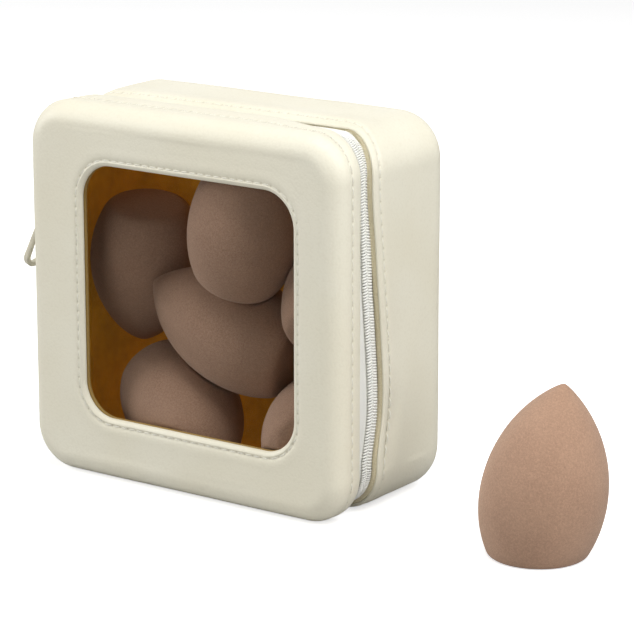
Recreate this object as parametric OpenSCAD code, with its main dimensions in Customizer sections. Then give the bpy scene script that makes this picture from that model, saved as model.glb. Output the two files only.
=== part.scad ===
// Makeup sponge set: six drop-shaped sponges in a square zip case with a window, and one beside it.
// The window faces -Y, the origin is on the table under the middle of the case.

/* [Case] */
// Width of the case, side to side
case_w = 126.5; // [116:0.5:150]
// Height of the case
case_h = 125; // [116:0.5:150]
// Depth of the case, window face to back
case_d = 62; // [60:0.5:80]
// Radius of the four corners, seen from the front
corner_r = 15; // [12:0.5:18]
// Radius of the rolled edge round the window face
front_roll = 7; // [6:0.5:8]
// Radius of the rolled edge round the back
back_roll = 9; // [6:0.5:10]
// Depth of the lid, window face to its edge at the zip
lid_side = 13; // [12:0.5:16]

/* [Walls] */
// Thickness of the outer leather cloth
skin_t = 0.8; // [0.6:0.05:1]
// Thickness of the foam stiffener
core_t = 1.8; // [1.4:0.1:2]
// Thickness of the lining cloth
lining_t = 0.5; // [0.3:0.05:0.6]

/* [Window] */
// Width of the frame on each side of the window
win_side = 20.75; // [19.5:0.25:30]
// Height of the frame above and below the window
win_end = 20.35; // [19.5:0.05:30]
// Corner radius of the window opening
win_r = 11.5; // [8:0.5:20]
// How far the window sits to the right of the case's middle
win_shift = 3; // [-3:0.5:3]
// How far the window sits above the case's middle
win_rise = 1.3; // [-3:0.1:3]
// Thickness of the clear sheet
pane_t = 0.5; // [0.3:0.1:0.8]

/* [Zip] */
// Width of the gap between the lid's edge and the tub's cut edge
zip_gap = 9.6; // [9:0.2:12]
// Distance from the lid's edge to the middle line of the zip
zip_offset = 6.6; // [6:0.1:7]
// Width of the closed chain
chain_w = 5.2; // [4.6:0.2:6]
// How far the chain lies below the wall's surface
chain_sink = 2.4; // [2.2:0.1:2.6]
// Height of the coil on its tape
coil_h = 1.1; // [0.8:0.1:1.2]
// Thickness of the tape
tape_t = 0.6; // [0.4:0.1:0.7]
// Length of the cloth hinge under the case
hinge_l = 60; // [30:1:70]
// How far the slider stands above the middle of the case
slider_rise = 29.5; // [0:0.5:32]

/* [Pull] */
// Length of the pull tab from its pivot
pull_l = 31.5; // [22:0.5:40]
// Width of the pull tab at its round end
pull_w = 10; // [9:0.5:13]
// Thickness of the pull tab
pull_t = 1.8; // [1.4:0.1:2]
// Angle at which the pull tab leans out
pull_lean = 23; // [12:1:40]

/* [Sponge] */
// Largest radius of a sponge
sponge_r = 19.5; // [16:0.5:21]
// Length from the tip to the widest place
tip_l = 36.6; // [28:0.2:37]
// Length from the widest place to the cut base on the loose sponge
base_l = 18.6; // [16:0.2:22]
// The same length on the packed sponges, before they are squeezed
packed_base_l = 21.4; // [16:0.2:22]
// Half length of the oval that the lower part follows
belly_l = 29.4; // [28:0.2:36]
// Slant of the cut base
cut_slant = 9; // [0:1:12]
// Distance from the middle of the case to the loose sponge
loose_x = 122.6; // [110:0.2:160]
// How far the loose sponge stands in front of the middle of the case
loose_front = 11.8; // [-20:0.2:30]

/* [Hidden] */
$fn = 48;
// Glue line between two layers, and the overrun of every cut
glue = 0.05;
over = 1;
// Steps of a rolled edge and of a folded one
roll_steps = 6;
fold_steps = 4;

// The window opening
win_w = case_w - 2 * win_side;
win_h = case_h - 2 * win_end;
// The edges at the zip, as distances from the window face
cut_back = lid_side + zip_gap;
zip_back = lid_side + zip_offset;
// Stitches: pitch, length, width and height of one
seam_pitch = 5;
win_pitch = 4;
stitch_share = 0.7;
stitch_w = 0.6;
stitch_h = 0.25;
win_stitch_gap = 2.1;

// The lid's edge is turned in: depth and length of its round fold
fold_dip = 1.8;
fold_l = 3;
// The tub's edge is cut: how far and over what length it bends inward
cut_dip = 0.5;
cut_l = 2.6;
// Half the slot between the two coils, in which the slider's post runs
half_slot = 0.6;
coil_round = 0.4;
// Where the seam stitches lie: behind the window face on the lid, behind the cut edge on the tub
lid_seam_back = front_roll + stitch_w;
tub_seam_gap = 3.1;
tub_seam_back = cut_back + tub_seam_gap;
seam_hold = 1.4;
turn_hold = 1;
// Length of the turned-in part, which the seam holds
turn_in = lid_side - lid_seam_back + turn_hold;

// Depths below the wall's surface
core_top = skin_t + glue;
core_low = skin_t + core_t;
turn_top = core_low + glue;
turn_low = turn_top + skin_t;
tape_top = chain_sink + coil_h + glue;
tape_low = tape_top + tape_t;
line_top = core_low + glue;
line_low = line_top + lining_t;
seam_line_top = tape_low + glue;
seam_line_low = seam_line_top + lining_t;

// Rim of the window: width and depth of the round lip, width of the turned-in hem, lap of the sheet
lip_w = 1.4;
lip_d = 1.5;
hem_w = 6;
hem_gap = 0.2;
pane_lap = 4;

// Hinge: half the gap between its leaves, and how far it stays off the ends of the zip
leaf_gap = 0.15;
leaf_bend = 1.4;
hinge_end_gap = 2;
stop_l = 1.6;
stop_gap = 0.1;

// Slider: play round the chain and beside the tub's edge, width, length, plate, post and bridge
slider_play = 0.3;
slider_w = 2 * (zip_gap - zip_offset - slider_play);
slider_l = 9;
slider_nose = 1.2;
plate_t = 1.2;
post_w = 0.6;
post_l = 3;
post_drop = 3.2;
bridge_w = 2;
bridge_l = 6.6;
bridge_r = 2;
pivot_out = 2.7;
pivot_bore = 1;
pin_r = 0.93;
fork_t = 1.3;
fork_gap = 0.2;
web_gap = 0.4;
eye_rim = 1.6;
eye_w = pull_w - 2 * eye_rim;
eye_l = 11;

// A packed sponge is squeezed to this share of its free size and stays this far off what it touches
squeeze_share = 0.964;
touch = 0.15;
tip_round = 0.6;
tip_steps = 16;
belly_steps = 10;
// Way that the loose sponge leans, because its cut is slanted
loose_turn = 39;
// Room for the packed sponges, and how far a sponge's middle can go from the room's middle
room_front = lip_d + glue + pane_t;
room_d = case_d - room_front - line_low;
squeezed_r = squeeze_share * sponge_r;
play = [case_w / 2 - line_low - squeezed_r, room_d / 2 - squeezed_r, case_h / 2 - line_low - squeezed_r];
// One row for each packed sponge: its widest place, across, back and up, as shares of that play,
// then the lean of its tip from upright and the way its tip points
packed_shares = [
    [-0.9808, 0.4438, 0.1478, 157, 135],
    [0.2838, -0.9526, 0.6162, 16, -18],
    [-0.4060, 0.3293, -1.9794, 66, 190],
    [-0.4482, -0.5769, -0.9836, 109, -28],
    [0.9925, 0.4112, 0.1478, 43, 96],
    [0.9328, -0.5680, -0.9982, 84, 114]
];
// The middle sponge hangs on the one at the top right: its row is in shares of a squeezed radius
middle = 2;
middle_holder = 1;

// The case lies face up while it is built, then it is set upright
module upright() {
    translate([0, 0, case_h / 2]) rotate([90, 0, 0]) children();
}

// Rounded rectangle about the origin
module rounded(w, h, r) {
    square([w - 2 * r, h], center = true);
    square([w, h - 2 * r], center = true);
    for (x = [-1, 1], y = [-1, 1])
        translate([x * (w / 2 - r), y * (h / 2 - r)]) circle(r);
}

// Carries a profile round a rounded rectangle: its x runs outward from the corner's own axis
module round_corners(w, h, r) {
    for (k = [0 : 3])
        translate([(k == 0 || k == 3 ? 1 : -1) * (w / 2 - r), (k < 2 ? 1 : -1) * (h / 2 - r), 0])
            rotate([0, 0, 90 * k]) rotate_extrude(angle = 90) children();
}
module straight_runs(w, h, r) {
    for (k = [0 : 3])
        rotate([0, 0, 90 * k])
            translate([(k % 2 == 0 ? w : h) / 2 - r, 0, 0])
                rotate([90, 0, 0])
                    linear_extrude(height = (k % 2 == 0 ? h : w) - 2 * r, center = true) children();
}
module all_round(w, h, r) {
    round_corners(w, h, r) children();
    straight_runs(w, h, r) children();
}

// The middle of a face, inside the corner axes, between two depths below that face
module face_plate(top, low) {
    translate([0, 0, case_d / 2 - low])
        linear_extrude(height = low - top)
            square([case_w - 2 * corner_r, case_h - 2 * corner_r], center = true);
}
module back_plate(top, low) {
    mirror([0, 0, 1]) face_plate(top, low);
}

// A point of a wall profile: depth below the wall's surface, distance behind the window face
function at(sink, back) = [corner_r - sink, case_d / 2 - back];
function along(pts) = [for (p = pts) at(p[0], p[1])];
function reversed(pts) = [for (i = [len(pts) - 1 : -1 : 0]) pts[i]];
// Rolled edges at a depth, each from the side wall to the face
function front_arc(sink) = [for (k = [0 : roll_steps])
    let (t = 90 * k / roll_steps, r = front_roll - sink)
        [front_roll - r * cos(t), front_roll - r * sin(t)]];
function back_arc(sink) = [for (k = [0 : roll_steps])
    let (t = 90 * k / roll_steps, r = back_roll - sink)
        [back_roll - r * cos(t), case_d - back_roll + r * sin(t)]];
// Round fold of the lid's edge, moved inward and back by one depth
function fold_arc(sink, dip) = [for (k = [0 : fold_steps])
    let (t = 90 * k / fold_steps)
        [sink + dip * (1 - cos(t)), lid_side - sink - fold_l * (1 - sin(t))]];

function lid_skin_points() = along(concat(
    [[corner_r, 0]], reversed(front_arc(0)), fold_arc(0, fold_dip),
    [[turn_low, lid_side], [turn_low, lid_side - turn_in], [turn_top, lid_side - turn_in],
     [turn_top, lid_side - skin_t]],
    reversed(fold_arc(skin_t, fold_dip)), front_arc(skin_t), [[corner_r, skin_t]]));
function lid_core_points() = along(concat(
    [[corner_r, core_top]], reversed(front_arc(core_top)), fold_arc(core_top, fold_dip - 2 * glue),
    [[core_low, lid_side - 2 * skin_t]], front_arc(core_low), [[corner_r, core_low]]));
function lid_lining_points() = along([
    [corner_r, line_top], [front_roll + lining_t, line_top],
    [seam_line_top, lid_side - turn_in - 2 * lining_t], [seam_line_top, lid_side - lining_t],
    [seam_line_low, lid_side - lining_t], [seam_line_low, lid_side - turn_in - lining_t],
    [front_roll + 2 * lining_t, line_low], [corner_r, line_low]]);

function tub_skin_points() = along(concat(
    [[cut_dip, cut_back], [0, cut_back + cut_l]], back_arc(0), [[corner_r, case_d]],
    [[corner_r, case_d - skin_t]], reversed(back_arc(skin_t)),
    [[skin_t, cut_back + cut_l], [cut_dip + skin_t, cut_back]]));
function tub_core_points() = along(concat(
    [[cut_dip + core_top, cut_back], [core_top, cut_back + cut_l]], back_arc(core_top),
    [[corner_r, case_d - core_top], [corner_r, case_d - core_low]], reversed(back_arc(core_low)),
    [[core_low, tub_seam_back + 2 * seam_hold], [tape_top - glue, tub_seam_back + seam_hold],
     [tape_top - glue, cut_back]]));
function tub_lining_points() = along(concat(
    [[seam_line_top, cut_back + lining_t], [seam_line_top, tub_seam_back + 2 * seam_hold],
     [line_top, tub_seam_back + 3 * seam_hold]], back_arc(line_top),
    [[corner_r, case_d - line_top], [corner_r, case_d - line_low]], reversed(back_arc(line_low)),
    [[line_low, tub_seam_back + 3 * seam_hold + lining_t],
     [seam_line_low, tub_seam_back + 2 * seam_hold + lining_t],
     [seam_line_low, cut_back + lining_t]]));

// Zip halves: side is -1 towards the lid and 1 towards the tub
function tape_points(side, far_back) = along([
    [tape_top, zip_back + side * half_slot], [tape_top, far_back],
    [tape_low, far_back], [tape_low, zip_back + side * half_slot]]);
function coil_points(side) = along([
    [chain_sink + coil_h, zip_back + side * half_slot],
    [chain_sink + coil_round, zip_back + side * half_slot],
    [chain_sink, zip_back + side * (half_slot + coil_round)],
    [chain_sink, zip_back + side * (chain_w / 2 - 2 * coil_round)],
    [chain_sink + coil_round, zip_back + side * (chain_w / 2 - coil_round)],
    [chain_sink + coil_h, zip_back + side * chain_w / 2]]);
// Leaf of the hinge: flush with the chain at the zip line, sunk to the tape under the wall
function leaf_points(side, near_back, far_back) = along([
    [chain_sink, zip_back + side * leaf_gap], [chain_sink, zip_back + side * leaf_bend],
    [tape_top, near_back], [tape_top, far_back], [tape_low, far_back],
    [tape_low, near_back], [chain_sink + tape_t, zip_back + side * leaf_bend],
    [chain_sink + tape_t, zip_back + side * leaf_gap]]);

// Keeps what lies outside the hinge's length, or inside it, on the underside
module hinge_block(l) {
    translate([-l / 2, -case_h / 2 - over, -case_d])
        cube([l, corner_r + over, 2 * case_d]);
}

// One stitch lying on a wall or a face, and rows of them
module stitch(pitch) {
    translate([-pitch * stitch_share / 2, -stitch_w / 2, 0]) cube([pitch * stitch_share, stitch_w, stitch_h]);
}
// A row along a straight run, centred
module stitch_run(l, pitch) {
    n = floor(l / pitch);
    for (i = [0 : n - 1])
        translate([(i - (n - 1) / 2) * l / n, 0, 0]) children();
}
// Places for a row round the case's side wall; the underside stays bare, so the case stands flat
module wall_row(back, pitch) {
    run_w = case_w - 2 * corner_r;
    run_h = case_h - 2 * corner_r;
    bends = round(corner_r * PI / 2 / pitch);
    translate([0, 0, case_d / 2 - back]) {
        translate([0, case_h / 2, 0]) rotate([-90, 0, 0])
            stitch_run(run_w, pitch) stitch(pitch);
        for (s = [-1, 1])
            translate([s * case_w / 2, 0, 0]) rotate([0, s * 90, 0]) rotate([0, 0, 90])
                stitch_run(run_h, pitch) stitch(pitch);
        for (sx = [-1, 1], sy = [-1, 1], i = [0 : bends - (sy < 0 ? 2 : 1)])
            translate([sx * run_w / 2, sy * run_h / 2, 0])
                rotate([0, 0, (sx > 0 ? 0 : 180) + sx * sy * 90 * (i + 0.5) / bends])
                    translate([corner_r, 0, 0]) rotate([0, 90, 0]) rotate([0, 0, 90]) stitch(pitch);
    }
}
// A row round the window on the face
module window_row(pitch) {
    run_w = win_w - 2 * win_r;
    run_h = win_h - 2 * win_r;
    bend_r = win_r + win_stitch_gap;
    bends = round(bend_r * PI / 2 / pitch);
    translate([win_shift, win_rise, case_d / 2]) {
        for (s = [-1, 1]) {
            translate([0, s * (win_h / 2 + win_stitch_gap), 0]) stitch_run(run_w, pitch) stitch(pitch);
            translate([s * (win_w / 2 + win_stitch_gap), 0, 0]) rotate([0, 0, 90])
                stitch_run(run_h, pitch) stitch(pitch);
        }
        for (sx = [-1, 1], sy = [-1, 1], i = [0 : bends - 1])
            translate([sx * run_w / 2, sy * run_h / 2, 0])
                rotate([0, 0, (sx > 0 ? 0 : 180) + sx * sy * 90 * (i + 0.5) / bends])
                    translate([bend_r, 0, 0]) rotate([0, 0, 90]) stitch(pitch);
    }
}

module window_cut(grow) {
    translate([win_shift, win_rise, 0])
        linear_extrude(height = case_d) rounded(win_w + 2 * grow, win_h + 2 * grow, win_r + grow);
}
// Turned-in hem round the window, with its round lip
function hem_points() = concat(
    [for (k = [0 : fold_steps]) let (t = 90 * k / fold_steps)
        [win_r - lip_w * cos(t), -lip_d * (1 - sin(t))]],
    [[win_r + hem_w, 0], [win_r + hem_w, -lip_d]]);

module tub_skin() {
    color([0.93, 0.91, 0.83]) upright() {
        all_round(case_w, case_h, corner_r) polygon(tub_skin_points());
        back_plate(0, skin_t);
    }
}
module tub_core() {
    color([0.85, 0.81, 0.70]) upright() {
        all_round(case_w, case_h, corner_r) polygon(tub_core_points());
        back_plate(core_top, core_low);
    }
}
module tub_lining() {
    color([0.50, 0.33, 0.10]) upright() {
        all_round(case_w, case_h, corner_r) polygon(tub_lining_points());
        back_plate(line_top, line_low);
    }
}
module lid_skin() {
    color([0.93, 0.91, 0.83]) upright() {
        difference() {
            union() {
                all_round(case_w, case_h, corner_r) polygon(lid_skin_points());
                face_plate(0, skin_t);
            }
            window_cut(hem_w - glue);
        }
        translate([win_shift, win_rise, case_d / 2]) all_round(win_w, win_h, win_r) polygon(hem_points());
    }
}
module lid_core() {
    color([0.85, 0.81, 0.70]) upright() difference() {
        union() {
            all_round(case_w, case_h, corner_r) polygon(lid_core_points());
            face_plate(core_top, core_low);
        }
        window_cut(hem_w + hem_gap);
    }
}
module lid_lining() {
    color([0.50, 0.33, 0.10]) upright() difference() {
        union() {
            all_round(case_w, case_h, corner_r) polygon(lid_lining_points());
            face_plate(line_top, line_low);
        }
        window_cut(hem_w + hem_gap);
    }
}
module window_pane() {
    color([0.8, 0.85, 0.85, 0.4]) upright()
        translate([win_shift, win_rise, case_d / 2 - room_front])
            linear_extrude(height = pane_t)
                rounded(win_w + 2 * pane_lap, win_h + 2 * pane_lap, win_r + pane_lap);
}
module window_stitches() {
    color([0.95, 0.94, 0.88]) upright() window_row(win_pitch);
}
module lid_seam_stitches() {
    color([0.95, 0.94, 0.88]) upright() wall_row(lid_seam_back, seam_pitch);
}
module tub_seam_stitches() {
    color([0.95, 0.94, 0.88]) upright() wall_row(tub_seam_back, seam_pitch);
}

// Everything of the zip stops short of the hinge
module zip_run(end_gap) {
    upright() difference() {
        all_round(case_w, case_h, corner_r) children();
        hinge_block(hinge_l + 2 * end_gap);
    }
}
module lid_zip_tape() {
    color([0.91, 0.91, 0.87]) zip_run(glue) polygon(tape_points(-1, lid_side - turn_in));
}
module tub_zip_tape() {
    color([0.91, 0.91, 0.87]) zip_run(glue) polygon(tape_points(1, tub_seam_back + seam_hold));
}
module lid_zip_coil() {
    color([0.96, 0.96, 0.94]) zip_run(hinge_end_gap + stop_l + stop_gap) polygon(coil_points(-1));
}
module tub_zip_coil() {
    color([0.96, 0.96, 0.94]) zip_run(hinge_end_gap + stop_l + stop_gap) polygon(coil_points(1));
}
// Two small clips on the tape, one past each end of the coil
module zip_stops(side) {
    upright() for (s = [-1, 1])
        translate([s * (hinge_l / 2 + hinge_end_gap + stop_l / 2), corner_r - case_h / 2, 0])
            rotate([0, 0, -90]) rotate([90, 0, 0])
                linear_extrude(height = stop_l, center = true) polygon(coil_points(side));
}
module lid_zip_stops() { color([0.80, 0.80, 0.78]) zip_stops(-1); }
module tub_zip_stops() { color([0.80, 0.80, 0.78]) zip_stops(1); }
module hinge_leaf() {
    upright() translate([0, corner_r - case_h / 2, 0]) rotate([0, 0, -90]) rotate([90, 0, 0])
        linear_extrude(height = hinge_l, center = true) children();
}
module lid_hinge_leaf() {
    color([0.89, 0.88, 0.82]) hinge_leaf() polygon(leaf_points(-1, lid_side, lid_side - turn_in));
}
module tub_hinge_leaf() {
    color([0.89, 0.88, 0.82]) hinge_leaf() polygon(leaf_points(1, cut_back, tub_seam_back + seam_hold));
}

// Slider on the left wall: its x runs inward from the wall's surface, y lies on the zip line
zip_y = zip_back - case_d / 2;
slider_z = case_h / 2 + slider_rise;
module at_slider() {
    translate([-case_w / 2, zip_y, slider_z]) children();
}
module slider_plate(top) {
    half_w = slider_w / 2;
    half_l = slider_l / 2;
    translate([top, 0, 0]) rotate([0, 90, 0])
        linear_extrude(height = plate_t)
            polygon([[half_l, half_w - slider_nose / 2], [half_l - slider_nose, half_w],
                     [-half_l + slider_nose, half_w], [-half_l, half_w - slider_nose],
                     [-half_l, slider_nose - half_w], [slider_nose - half_l, -half_w],
                     [half_l - slider_nose, -half_w], [half_l, slider_nose / 2 - half_w]]);
}
module zip_slider() {
    plate_top = chain_sink - slider_play - plate_t;
    low_plate = tape_low + slider_play;
    color([0.80, 0.78, 0.68]) at_slider() {
        slider_plate(plate_top);
        slider_plate(low_plate);
        translate([plate_top + plate_t / 2, -post_w / 2, -post_drop])
            cube([low_plate - plate_top, post_w, post_l]);
        difference() {
            union() {
                translate([0, bridge_w / 2, 0]) rotate([90, 0, 0])
                    linear_extrude(height = bridge_w)
                        polygon([[plate_top + plate_t / 2, -bridge_l / 2],
                                 [plate_top + plate_t / 2, bridge_l / 2],
                                 [-pivot_out, bridge_r], [-pivot_out, -bridge_r]]);
                translate([-pivot_out, 0, 0]) rotate([90, 0, 0])
                    cylinder(r = bridge_r, h = bridge_w, center = true);
            }
            translate([-pivot_out, 0, 0]) rotate([90, 0, 0])
                cylinder(r = pivot_bore, h = bridge_w + 2 * over, center = true);
        }
    }
}
// Pull tab: a tapered loop with a forked top end, whose pin goes through the bridge
module pull_outline() {
    polygon([[-fork_half, 0], [fork_half, 0], [pull_w / 2, pull_w / 2 - pull_l], [-pull_w / 2, pull_w / 2 - pull_l]]);
    translate([0, pull_w / 2 - pull_l]) circle(d = pull_w);
}
fork_half = bridge_w / 2 + fork_gap + fork_t;
module pull_tab() {
    eye_low = pull_l - eye_rim - eye_w / 2;
    color([0.80, 0.78, 0.68]) at_slider() translate([-pivot_out, 0, 0]) rotate([0, pull_lean, 0]) {
        difference() {
            union() {
                rotate([90, 0, 90]) linear_extrude(height = pull_t, center = true) pull_outline();
                rotate([90, 0, 0]) cylinder(r = bridge_r, h = 2 * fork_half, center = true);
            }
            cube([4 * bridge_r, bridge_w + 2 * fork_gap, 2 * (bridge_r + web_gap)], center = true);
            rotate([90, 0, 90]) linear_extrude(height = pull_t + 2 * over, center = true) {
                translate([0, -eye_low]) circle(d = eye_w);
                translate([0, eye_l - eye_w - eye_low]) circle(d = eye_w);
                translate([-eye_w / 2, -eye_low]) square([eye_w, eye_l - eye_w]);
            }
        }
        rotate([90, 0, 0]) cylinder(r = pin_r, h = 2 * fork_half, center = true);
    }
}

// Half outline of a sponge, grown by a margin: an arc up to the tip, an oval down to the base
function tip_r(up, r, l) = let (bow = (l * l + r * r) / (2 * r)) sqrt(bow * bow - up * up) - bow + r;
function belly_r(down, r, l) = r * sqrt(1 - down * down / (l * l));
function sponge_points(base, grow) =
    let (r = sponge_r + grow, l = tip_l + grow, b = base + sponge_r * sin(cut_slant) + grow)
        concat([[0, l - tip_round]],
               [for (k = [0 : tip_steps]) let (u = (l - tip_round) * (1 - k / tip_steps)) [tip_r(u, r, l), u]],
               [for (k = [1 : belly_steps]) let (d = b * k / belly_steps) [belly_r(d, r, belly_l + grow), -d]],
               [[0, -b]]);
// A sponge on its own axis, widest at the origin, tip up, with its slanted cut
module sponge(base, grow) {
    reach = 2 * (sponge_r + tip_l);
    difference() {
        rotate_extrude() polygon(sponge_points(base, grow));
        translate([0, 0, -base - grow]) rotate([0, cut_slant, 0])
            translate([-reach / 2, -reach / 2, -reach]) cube([reach, reach, reach]);
    }
}
function in_room(i) = [for (k = [0 : 2]) packed_shares[i][k] * play[k]];
function packed_place(i) = i == middle
    ? in_room(middle_holder) + [for (k = [0 : 2]) packed_shares[i][k] * squeezed_r]
    : in_room(i);
module packed(i, grow) {
    translate([0, (room_front - line_low) / 2, case_h / 2] + packed_place(i))
        rotate([0, packed_shares[i][3], packed_shares[i][4]]) scale(squeeze_share) sponge(packed_base_l, grow);
}
// Each packed sponge is pressed flat on the walls, the seam and the sheet, and dented by the earlier ones
module room_box(depth, front) {
    translate([depth - case_w / 2, front - case_d / 2, depth])
        cube([case_w - 2 * depth, case_d - line_low - touch - front, case_h - 2 * depth]);
}
module room() {
    room_box(front_roll + 2 * lining_t + 2 * touch, line_low + 2 * touch);
    room_box(seam_line_low + 2 * touch, lid_side - turn_in - lining_t + 2 * touch);
    room_box(line_low + touch, tub_seam_back + 3 * seam_hold + lining_t + touch);
}
module pressed(i, dents) {
    color([0.66, 0.52, 0.43]) difference() {
        intersection() {
            packed(i, 0);
            room();
        }
        for (k = dents) packed(k, 2 * touch);
    }
}
module sponge_top_left() { pressed(0, []); }
module sponge_top_right() { pressed(1, [0]); }
module sponge_middle() { pressed(2, [0, 1]); }
module sponge_bottom_left() { pressed(3, [0, 2]); }
module sponge_right() { pressed(4, [1, 2]); }
module sponge_bottom_right() { pressed(5, [2, 3, 4]); }
module loose_sponge() {
    color([0.70, 0.57, 0.47])
        translate([loose_x, -loose_front, 0]) rotate([0, 0, loose_turn + 180])
            translate([-base_l * sin(cut_slant), 0, base_l * cos(cut_slant)])
                rotate([0, -cut_slant, 0]) sponge(base_l, 0);
}

tub_skin();
tub_core();
tub_lining();
tub_zip_tape();
tub_zip_coil();
tub_zip_stops();
tub_seam_stitches();
tub_hinge_leaf();
lid_skin();
lid_core();
lid_lining();
window_pane();
window_stitches();
lid_zip_tape();
lid_zip_coil();
lid_zip_stops();
lid_seam_stitches();
lid_hinge_leaf();
zip_slider();
pull_tab();
sponge_top_left();
sponge_top_right();
sponge_middle();
sponge_bottom_left();
sponge_right();
sponge_bottom_right();
loose_sponge();
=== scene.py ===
"""Dresses a square zip case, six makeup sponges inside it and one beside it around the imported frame.

+X is right, +Z is up and the window faces -Y. The surfaces are worked out in millimetres, and a mesh gets
its points in metres.
"""

import bmesh
import bpy
import numpy as np
from bpy.props import FloatProperty, FloatVectorProperty, PointerProperty
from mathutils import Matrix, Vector


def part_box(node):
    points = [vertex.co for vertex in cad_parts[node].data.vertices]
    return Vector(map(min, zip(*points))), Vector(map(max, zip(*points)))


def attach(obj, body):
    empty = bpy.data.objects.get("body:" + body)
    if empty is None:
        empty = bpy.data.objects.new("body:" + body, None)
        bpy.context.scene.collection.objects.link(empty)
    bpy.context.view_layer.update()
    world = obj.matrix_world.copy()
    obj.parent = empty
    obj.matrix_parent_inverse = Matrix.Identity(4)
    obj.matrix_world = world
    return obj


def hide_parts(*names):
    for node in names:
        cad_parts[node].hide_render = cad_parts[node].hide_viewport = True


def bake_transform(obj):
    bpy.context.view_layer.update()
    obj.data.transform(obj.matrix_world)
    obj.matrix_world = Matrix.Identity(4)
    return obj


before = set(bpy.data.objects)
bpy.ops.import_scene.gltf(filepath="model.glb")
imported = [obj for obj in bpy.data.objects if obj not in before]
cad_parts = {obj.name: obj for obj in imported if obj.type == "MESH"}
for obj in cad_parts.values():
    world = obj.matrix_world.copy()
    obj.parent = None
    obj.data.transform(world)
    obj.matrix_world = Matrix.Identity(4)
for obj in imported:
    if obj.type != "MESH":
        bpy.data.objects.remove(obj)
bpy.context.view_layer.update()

bl_info = {
    "name": "Makeup sponge set",
    "version": (1, 0, 0),
    "blender": (4, 5, 0),
    "location": "View3D > Sidebar > Sponge set",
    "description": "Builds the looks of a zip case with makeup sponges around its packed frame",
    "category": "Object",
}

MM = 0.001
LID_LOW = np.array(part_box("lid_skin")[0]) / MM
TUB_LOW, TUB_HIGH = (np.array(corner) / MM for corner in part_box("tub_skin"))


def length(name, description, value):
    """A length property, given in millimetres and kept in metres."""
    return FloatProperty(name=name, description=description, default=value * MM, unit="LENGTH", precision=5)


def colour(name, description, value):
    """A colour property, as linear red, green and blue."""
    return FloatVectorProperty(name=name, description=description, default=value, size=3, min=0, max=1,
                               subtype="COLOR")


class CaseSizes(bpy.types.PropertyGroup):
    width: length("Width", "Width of the case, side to side", TUB_HIGH[0] - TUB_LOW[0])
    height: length("Height", "Height of the case", TUB_HIGH[2] - TUB_LOW[2])
    depth: length("Depth", "Depth of the case, window face to back", TUB_HIGH[1] - LID_LOW[1])
    corner: length("Corner radius", "Radius of the four corners, seen from the front", 15)
    front_roll: length("Front roll", "Radius of the rolled edge round the window face", 7)
    back_roll: length("Back roll", "Radius of the rolled edge round the back", 9)
    lid_side: length("Lid side", "Depth of the lid, window face to its edge at the zip", 13)
    skin: length("Leather cloth", "Thickness of the outer leather cloth", 0.8)
    core: length("Foam", "Thickness of the foam stiffener", 1.75)
    lining: length("Lining", "Thickness of the lining cloth", 0.5)


class WindowSizes(bpy.types.PropertyGroup):
    width: length("Width", "Width of the window opening", 85)
    height: length("Height", "Height of the window opening", 84.3)
    corner: length("Corner radius", "Radius of the corners of the opening", 11.5)
    right: length("Shift", "How far the window sits to the right of the case's middle", 3)
    up: length("Rise", "How far the window sits above the case's middle", 1.3)
    lip: length("Lip", "Radius of the round lip", 1.4)
    stitch_gap: length("Stitch distance", "Distance of the row of stitches from the opening", 2.1)
    stitch_pitch: length("Stitch pitch", "Pitch of the stitches round the window", 3.2)
    reveal: length("Reveal", "Depth of the rolled edge of the lining behind the sheet", 2.1)


class SeamSizes(bpy.types.PropertyGroup):
    zip_gap: length("Zip gap", "Gap between the lid's edge and the tub's cut edge", 9.6)
    zip_line: length("Zip line", "From the lid's edge to the middle line of the zip", 6.6)
    sink: length("Sink", "How far the chain lies below the wall's surface", 2.4)
    coil_height: length("Coil height", "Height of the coil on its tape", 1.1)
    coil_reach: length("Coil reach", "Width of one half of the coil", 2.6)
    coil_pitch: length("Coil pitch", "Pitch of the coil's turns", 0.95)
    wire: length("Wire", "Radius of the coil's wire", 0.37)
    tape: length("Tape", "Thickness of the tape", 0.6)
    hinge: length("Hinge", "Length of the cloth hinge under the case", 60)
    stop_room: length("Stop room", "Room for the stop between the hinge and the coil", 3.7)
    pitch: length("Stitch pitch", "Pitch of the stitches beside the zip", 3.8)
    lid_row: length("Lid row", "Distance of the lid's row of stitches from the lid's edge", 5.4)
    tub_row: length("Tub row", "Distance of the tub's row of stitches from its cut edge", 3.1)
    thread: length("Thread", "Radius of the thread", 0.21)


class SpongeSizes(bpy.types.PropertyGroup):
    radius: length("Radius", "Largest radius of a sponge", 19.5)
    tip: length("Tip", "From the widest place to the tip", 36.6)
    base: length("Base", "From the widest place to the cut base, on the loose sponge", 18.6)
    packed_base: length("Packed base", "The same length on the packed sponges, unsqueezed", 21.4)
    belly: length("Belly", "Half length of the oval that the lower part follows", 29.4)
    soft_tip: length("Soft tip", "How far the tip is worn round", 0.8)
    soft_rim: length("Soft rim", "Reach of the round edge of the base", 1.1)
    packed_rim: length("Packed rim", "The same reach on the packed sponges", 2.6)
    slant: FloatProperty(name="Slant", description="Slant of the cut base", default=np.radians(9),
                         subtype="ANGLE")
    squeeze: FloatProperty(name="Squeeze", description="Size of a packed sponge, as a share of a free one",
                           default=0.964, subtype="FACTOR")


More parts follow.
